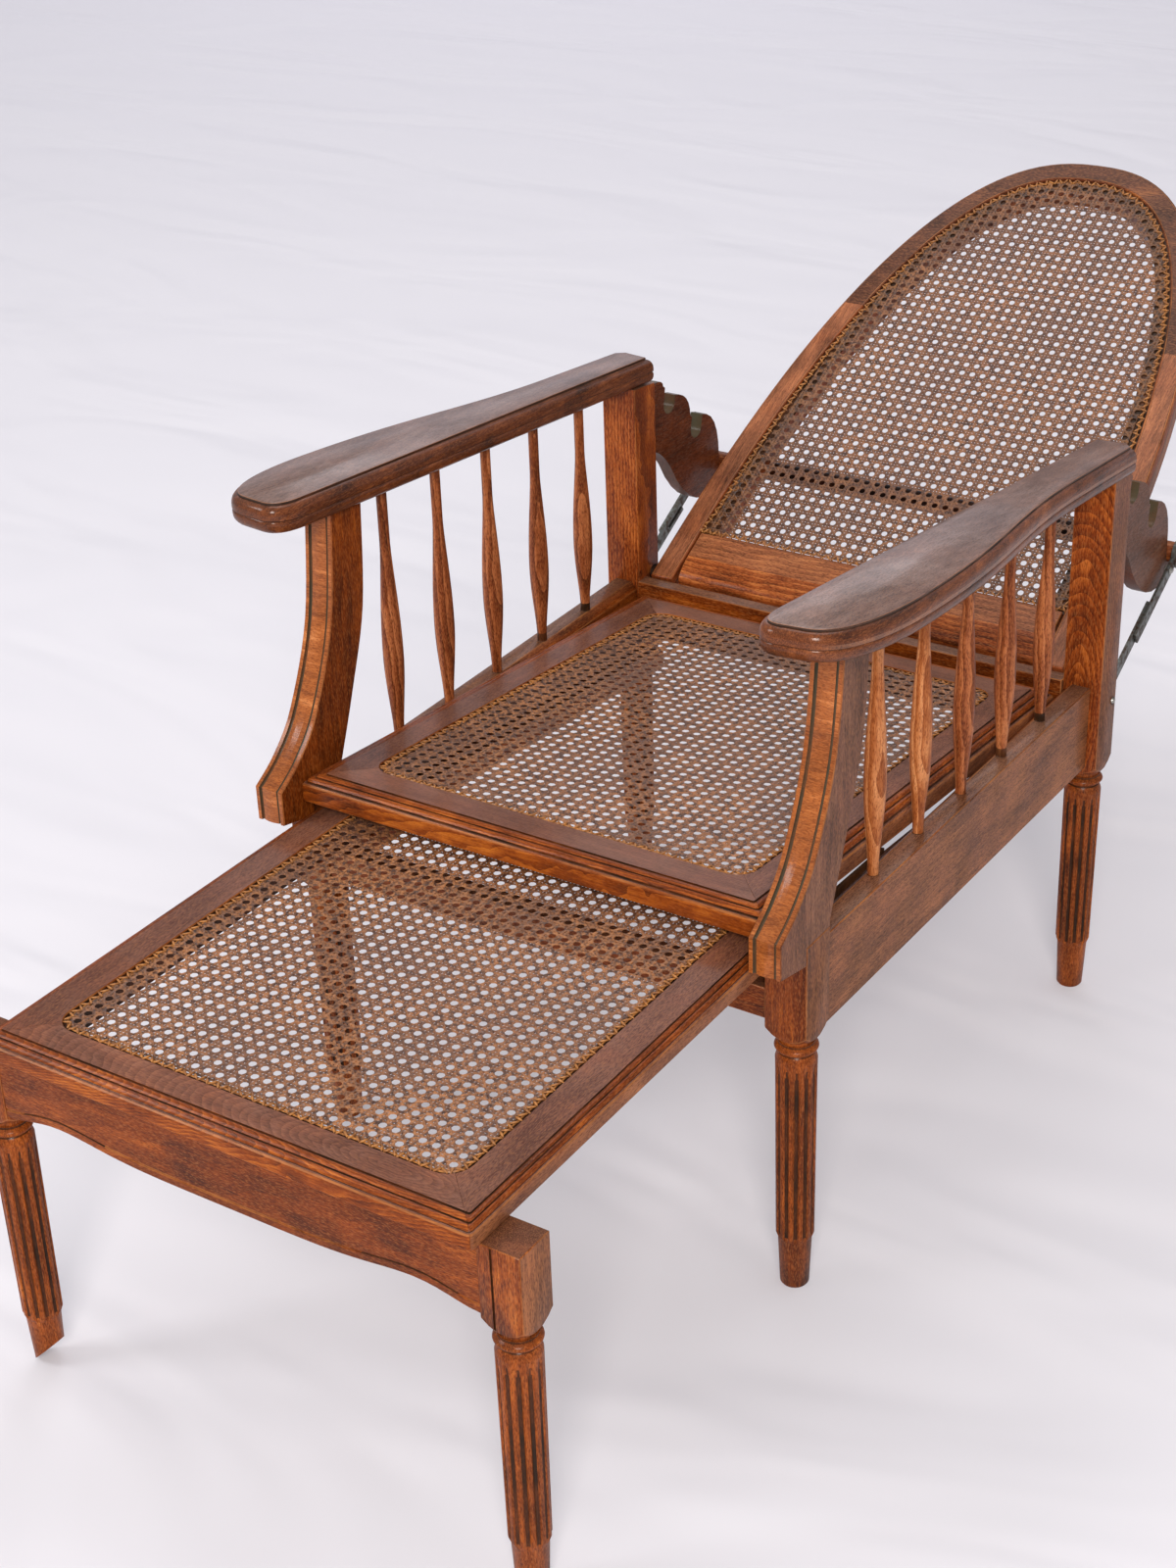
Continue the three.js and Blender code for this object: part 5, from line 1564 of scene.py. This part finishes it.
@dataclass
class CanePanel:
    """A six-way cane panel: woven pairs both ways, and diagonals that leave eight-sided holes."""

    name: str
    body: str
    node: str
    outline: list[Point2]
    top: float
    place: Matrix
    pitch: float = 12.9
    off_line: float = 1.82
    half_strand: float = 1.34
    height: float = 0.95
    wave: float = 0.4
    diagonal_wave: float = 0.8
    diagonal_share: float = 0.92
    sunk: float = 1.9
    margin: float = 5.0
    crease: float = 75.0
    finish: CaneFinish = CaneFinish()
    over_wood: Callable[[float, float], bool] = nowhere
    binder_inset: float = 3.3
    binder_half: float = 0.8
    binder_low: float = -2.2
    binder_high: float = -1.0
    loops_per_cell: float = 2.2
    loop_half: Point3 = (1.25, 5.2, 0.95)
    loop_height: float = -0.7
    loop_leans: Point2 = (0.75, -0.45)
    loop_wander: float = 0.2

    def strand(self, bm: bmesh.types.BMesh, path: Sequence[Point3], half: float) -> None:
        """Lays one strand of low three-sided section along a path in the weave's cell."""
        sides = []
        for i, spot in enumerate(path):
            before, after = path[max(0, i - 1)], path[min(len(path) - 1, i + 1)]
            along = Vector((after[0] - before[0], after[1] - before[1], 0.0)).normalized()
            across = Vector((-along.y, along.x, 0.0)) * half
            here = Vector(spot)
            sides.append([bm.verts.new(here + across), bm.verts.new(here - across),
                          bm.verts.new(here + Vector((0.0, 0.0, self.height)))])
        for first, second in zip(sides, sides[1:]):
            for k in range(3):
                bm.faces.new((first[k], first[(k + 1) % 3], second[(k + 1) % 3], second[k]))

    def cell(self, bm: bmesh.types.BMesh) -> None:
        """Builds one cell of the weave, centred on a crossing of the pairs."""
        p, o, a, b = self.pitch / 2, self.off_line, self.wave, self.diagonal_wave
        for side in (-1, 1):
            self.strand(bm, [(side * o, -p, 0.0), (side * o, -o, -side * a),
                             (side * o, o, side * a), (side * o, p, 0.0)], self.half_strand)
            self.strand(bm, [(-p, side * o, 0.0), (-o, side * o, side * a),
                             (o, side * o, -side * a), (p, side * o, 0.0)], self.half_strand)
        for sx in (-1, 1):
            for sy in (-1, 1):
                lift = b * sx * sy
                self.strand(bm, [(sx * p, 0.0, lift), (sx * p / 2, sy * p / 2, 0.0),
                                 (0.0, sy * p, -lift)], self.half_strand * self.diagonal_share)

    def repeat(self, bm: bmesh.types.BMesh, count: int, axis: int) -> None:
        """Repeats everything along one axis by doubling and then by what is left."""
        done = 1
        while done < count:
            more = min(done, count - done)
            reach = self.pitch * more
            low = min(v.co[axis] for v in bm.verts)
            chosen = [f for f in bm.faces if f.calc_center_median()[axis] < low + reach + 0.01]
            copy = bmesh.ops.duplicate(bm, geom=chosen)["geom"]
            step = Vector((0.0, 0.0, 0.0))
            step[axis] = self.pitch * done
            bmesh.ops.translate(bm, vec=step, verts=[
                part for part in copy if isinstance(part, bmesh.types.BMVert)])
            done += more

    def trim(self, bm: bmesh.types.BMesh, spot: Vector, away: Vector) -> None:
        """Cuts the strands off along one straight stretch of the opening's edge."""
        near = [face for face in bm.faces
                if (face.verts[0].co - spot).dot(away) > -2 * self.pitch]
        parts = {part for face in near for part in (face, *face.edges, *face.verts)}
        bmesh.ops.bisect_plane(bm, geom=list(parts), dist=1e-4, plane_co=spot, plane_no=away,
                               clear_outer=True)

    def binder(self, bm: bmesh.types.BMesh) -> None:
        """Lays the binding strand round the edge, tied down by slanting loops."""
        before = set(bm.faces)
        rim, middle, inner = (grown(self.outline, -self.binder_inset - k * self.binder_half)
                              for k in range(3))
        band = Piece("band", self.body, "cane", (), bm)
        band.swept([[(x, y, self.binder_low) for x, y in rim],
                    [(x, y, self.binder_high) for x, y in middle],
                    [(x, y, self.binder_low) for x, y in inner]], [Wear.PLAIN] * 3)
        carried, laid = 0.0, 0
        for i in range(len(middle)):
            start, end = Vector(middle[i - 1]), Vector(middle[i])
            length = (end - start).length
            while carried < length:
                loose = self.loop_wander * sin(2.4 * i + 3.1 * carried)
                self.loop(bm, start.lerp(end, carried / length), (end - start).normalized(),
                          self.loop_leans[laid % 2] + loose)
                carried += self.pitch / self.loops_per_cell
                laid += 1
            carried -= length
        for face in bm.faces:
            if face not in before:
                face.material_index = 1

    def loop(self, bm: bmesh.types.BMesh, spot: Vector, along: Vector, lean: float) -> None:
        """Lays one loop over the binding strand.

        Args:
            bm: Mesh of the panel.
            spot: Place on the strand.
            along: The strand's direction there.
            lean: Slant of the loop, as an angle.
        """
        turn = Matrix(((along.x, -along.y, 0.0, spot.x), (along.y, along.x, 0.0, spot.y),
                       (0.0, 0.0, 1.0, self.loop_height), (0.0, 0.0, 0.0, 1.0)))
        form = Matrix.Rotation(lean, 4, "Z") @ Matrix.Diagonal((*self.loop_half, 1.0))
        bmesh.ops.create_icosphere(bm, subdivisions=1, radius=1.0, matrix=turn @ form)

    def build(self) -> None:
        """Builds and dresses the panel."""
        piece = Piece(self.name, self.body, "cane", (self.node,))
        bm = piece.mesh
        xs, ys = [x for x, _ in self.outline], [y for _, y in self.outline]
        across, along = (ceil((max(v) - min(v)) / self.pitch) + 1 for v in (xs, ys))
        self.cell(bm)
        self.repeat(bm, across, 0)
        self.repeat(bm, along, 1)
        start = Vector(((min(xs) + max(xs)) / 2 - self.pitch * (across - 1) / 2,
                        (min(ys) + max(ys)) / 2 - self.pitch * (along - 1) / 2, -self.sunk))
        bmesh.ops.translate(bm, vec=start, verts=bm.verts)
        bmesh.ops.remove_doubles(bm, verts=bm.verts, dist=0.02)
        rim = grown(self.outline, -self.margin)[::2]
        for a, b in zip([rim[-1], *rim[:-1]], rim):
            edge = Vector(b) - Vector(a)
            if edge.length < 0.01:
                continue
            edge.normalize()
            self.trim(bm, Vector((*b, 0.0)), Vector((edge.y, -edge.x, 0.0)))
        bmesh.ops.holes_fill(bm, edges=[e for e in bm.edges if e.is_boundary], sides=0)
        for face in bm.faces:
            middle = face.calc_center_median()
            if self.over_wood(middle.x, middle.y):
                face.material_index = 2
        self.binder(bm)
        piece.move(self.place @ Matrix.Translation((0.0, 0.0, self.top)))
        piece.hand_over([
            FINISHES.get(self.finish),
            FINISHES.get(CaneFinish(name="rattan_binder_split_and_couched", pale="#cf8a42",
                                    brown="#7a461e", greyed="#9d6a3e")),
            FINISHES.get(CaneFinish(name="rattan_cane_over_the_rebate", pale="#a0662f",
                                    brown="#241008", greyed="#4a2f22"))], self.crease)


@dataclass
class Ironwork:
    """The steel stays, their bolts and rivets, and the back's pins."""

    strip_arris: float = 0.4
    head_arris: float = 0.5

    def build(self) -> None:
        """Builds and dresses the ironwork."""
        steel = [FINISHES.get(SteelFinish())] * 2
        for node, body in (("stay_lower_right", "frame"), ("stay_upper_right", "support")):
            piece = Piece(f"strip_{node}", body, "steel", (node,))
            piece.from_node(node)
            piece.eased(self.strip_arris)
            pair(piece, steel)
        bright = [FINISHES.get(SteelFinish(name="steel_rivet_turned_and_worn", clean="#a9a8a2",
                                           rough=(0.22, 0.4)))] * 2
        for node, body in (("stay_bolt_right", "frame"), ("stay_rivet_right", "support")):
            piece = Piece(f"head_{node}", body, "steel", (node,))
            piece.from_node(node)
            piece.eased(self.head_arris, segments=2)
            pair(piece, bright)
        carried_over(("back_pivot_left", "back_pivot_right"),
                     FINISHES.get(SteelFinish(name="steel_pin_blacked", clean="#2a211c")))


@dataclass(frozen=True)
class Lamp:
    """One soft square lamp: its place, aim and side in metres, its power and its colour."""

    name: str
    spot: Point3
    aim: Point3
    side: float
    watts: float
    colour: str = "#ffffff"

    def hang(self) -> None:
        """Hangs the lamp."""
        data = bpy.data.lights.new(self.name, "AREA")
        data.shape = "SQUARE"
        data.size = self.side
        data.energy = self.watts
        data.color = linear(self.colour)[:3]
        made = bpy.data.objects.new(self.name, data)
        made.location = self.spot
        way = Vector(self.aim) - Vector(self.spot)
        made.rotation_euler = way.to_track_quat("-Z", "Y").to_euler()
        bpy.context.scene.collection.objects.link(made)


@dataclass
class Studio:
    """The plain studio: floor, backdrop, lamps and the camera of the photograph."""

    azimuth: float = radians(33.98)
    elevation: float = radians(28.67)
    roll: float = radians(-2.13)
    camera_mm: Point3 = (1153.0, -1963.5, 1551.3)
    lens_mm: float = 57.97
    sensor_mm: float = 36.0
    # The sheet, in metres: it turns up far enough away for a camera that stands behind the chair
    sheet_front: float = -6.5
    sheet_depth: float = 8.0
    sheet_bend: float = 2.0
    sheet_tall: float = 6.0
    sheet_half_width: float = 9.0
    bend_steps: int = 16
    world_colour: str = "#f4f2f3"
    world_light: float = 0.5
    world_seen: float = 0.8
    lamps: tuple[Lamp, ...] = (
        Lamp("key_lamp", (2.4, -4.1, 3.2), (0.0, -0.1, 0.3), 1.5, 190.0, "#fff8f0"),
        Lamp("fill_lamp", (-3.2, -3.2, 3.4), (0.0, 0.0, 0.4), 1.6, 80.0),
        Lamp("top_lamp", (-0.4, 1.2, 4.4), (0.0, 0.0, 0.4), 2.6, 55.0),
        Lamp("back_lamp", (-3.6, 5.2, 4.0), (-3.2, 4.6, 0.0), 3.0, 55.0, "#f6f6ff"))

    def camera(self) -> None:
        """Sets the camera where the photograph was taken."""
        a, e, r = self.azimuth, self.elevation, self.roll
        back = Vector((sin(a) * cos(e), -cos(a) * cos(e), sin(e)))
        right = Vector((cos(a), sin(a), 0.0))
        up = back.cross(right)
        across = right * cos(r) + up * sin(r)
        upward = up * cos(r) - right * sin(r)
        data = bpy.data.cameras.new("studio_camera")
        data.lens = self.lens_mm
        data.sensor_width = self.sensor_mm
        made = bpy.data.objects.new("studio_camera", data)
        spot = TO_METRES @ Vector(self.camera_mm)
        made.matrix_world = Matrix((
            (across.x, upward.x, back.x, spot.x), (across.y, upward.y, back.y, spot.y),
            (across.z, upward.z, back.z, spot.z), (0.0, 0.0, 0.0, 1.0)))
        bpy.context.scene.collection.objects.link(made)
        bpy.context.scene.camera = made

    def ground(self) -> None:
        """Lays the sheet over the floor and hangs it behind."""
        bm = bmesh.new()
        bend, flat_end = self.sheet_bend, self.sheet_depth - self.sheet_bend
        turns = [pi / 2 * k / self.bend_steps for k in range(1, self.bend_steps + 1)]
        line = [(self.sheet_front, 0.0), (flat_end, 0.0),
                *((flat_end + bend * sin(turn), bend - bend * cos(turn)) for turn in turns),
                (self.sheet_depth, self.sheet_tall)]
        spots = [bm.verts.new((-self.sheet_half_width, y, z)) for y, z in line]
        edges = [bm.edges.new(ends) for ends in zip(spots, spots[1:])]
        made = bmesh.ops.extrude_edge_only(bm, edges=edges)["geom"]
        bmesh.ops.translate(bm, vec=(2 * self.sheet_half_width, 0.0, 0.0), verts=[
            part for part in made if isinstance(part, bmesh.types.BMVert)])
        facing = Matrix.Rotation(self.azimuth, 4, "Z")
        bmesh.ops.transform(bm, matrix=facing, verts=bm.verts)
        bmesh.ops.recalc_face_normals(bm, faces=bm.faces)
        for face in bm.faces:
            face.smooth = True
            if face.normal.z < -0.1:
                face.normal_flip()
        data = bpy.data.meshes.new("studio_sheet")
        bm.to_mesh(data)
        bm.free()
        data.materials.append(FINISHES.get(SheetFinish()))
        sheet = bpy.data.objects.new("studio_sheet", data)
        bpy.context.scene.collection.objects.link(sheet)

    def surroundings(self) -> None:
        """Sets the even light round the chair, which the camera sees as a pale wall."""
        world = bpy.data.worlds.new("studio_world")
        world.use_nodes = True
        tree = world.node_tree
        tree.nodes.clear()
        seen = add_node(tree, "ShaderNodeLightPath")
        level = add_node(tree, "ShaderNodeMath", {
            0: seen.outputs["Is Camera Ray"], 1: self.world_seen - self.world_light,
            2: self.world_light}, operation="MULTIPLY_ADD")
        light = add_node(tree, "ShaderNodeBackground", {
            "Color": linear(self.world_colour), "Strength": level.outputs[0]})
        add_node(tree, "ShaderNodeOutputWorld", {0: light.outputs[0]})
        bpy.context.scene.world = world

    def build(self) -> None:
        """Sets up the studio."""
        bpy.context.scene.view_settings.view_transform = "Standard"
        self.surroundings()
        for lamp in self.lamps:
            lamp.hang()
        self.ground()
        self.camera()


def main() -> None:
    """Builds the chair and its studio."""
    logging.basicConfig(level=logging.INFO, format="%(name)s: %(message)s")
    Studio().build()
    LegSet().build()
    ArmPair().build()
    BracketPair().build()
    SpindleRows().build()
    RailSet().build()
    seat = MouldedFrame(
        "seat", "frame", ("seat_front", "seat_rear", "seat_side_right", "seat_side_left"),
        (-233.0, SEAT_FRONT_Y), (233.0, 228.0), (-206.0, -318.0), (206.0, 198.0),
        19.2, 17.5, 17.7, 27.5, TO_SEAT)
    rest = MouldedFrame(
        "rest", "footrest", ("footrest_front", "footrest_rear", "footrest_side_right",
                             "footrest_side_left"),
        (-239.0, -785.0), (239.0, -267.0), (-208.0, -758.0), (208.0, -300.0),
        12.0, 17.0, 12.0, 21.0, TO_REST)
    seat.build()
    rest.build()
    ApronBoard().build()
    back = BackFrame()
    back.build()
    for part, name, body, node in ((seat, "seat_weave", "frame", "seat_cane"),
                                   (rest, "rest_weave", "footrest", "footrest_cane")):
        opening = rounded(part.opening_low, part.opening_high, part.corner)
        CanePanel(name, body, node, opening, 0.0, part.place, over_wood=part.over_wood).build()
    CanePanel("back_weave", "back", "back_cane", back.cane_outline(), back.half_thickness, TO_BACK,
              off_line=1.88, half_strand=1.42, over_wood=back.over_wood,
              finish=CaneFinish(name="rattan_cane_of_the_back", pale="#a86e41",
                                greyed="#5a3a2c")).build()
    Ironwork().build()


if __name__ == "__main__":
    main()
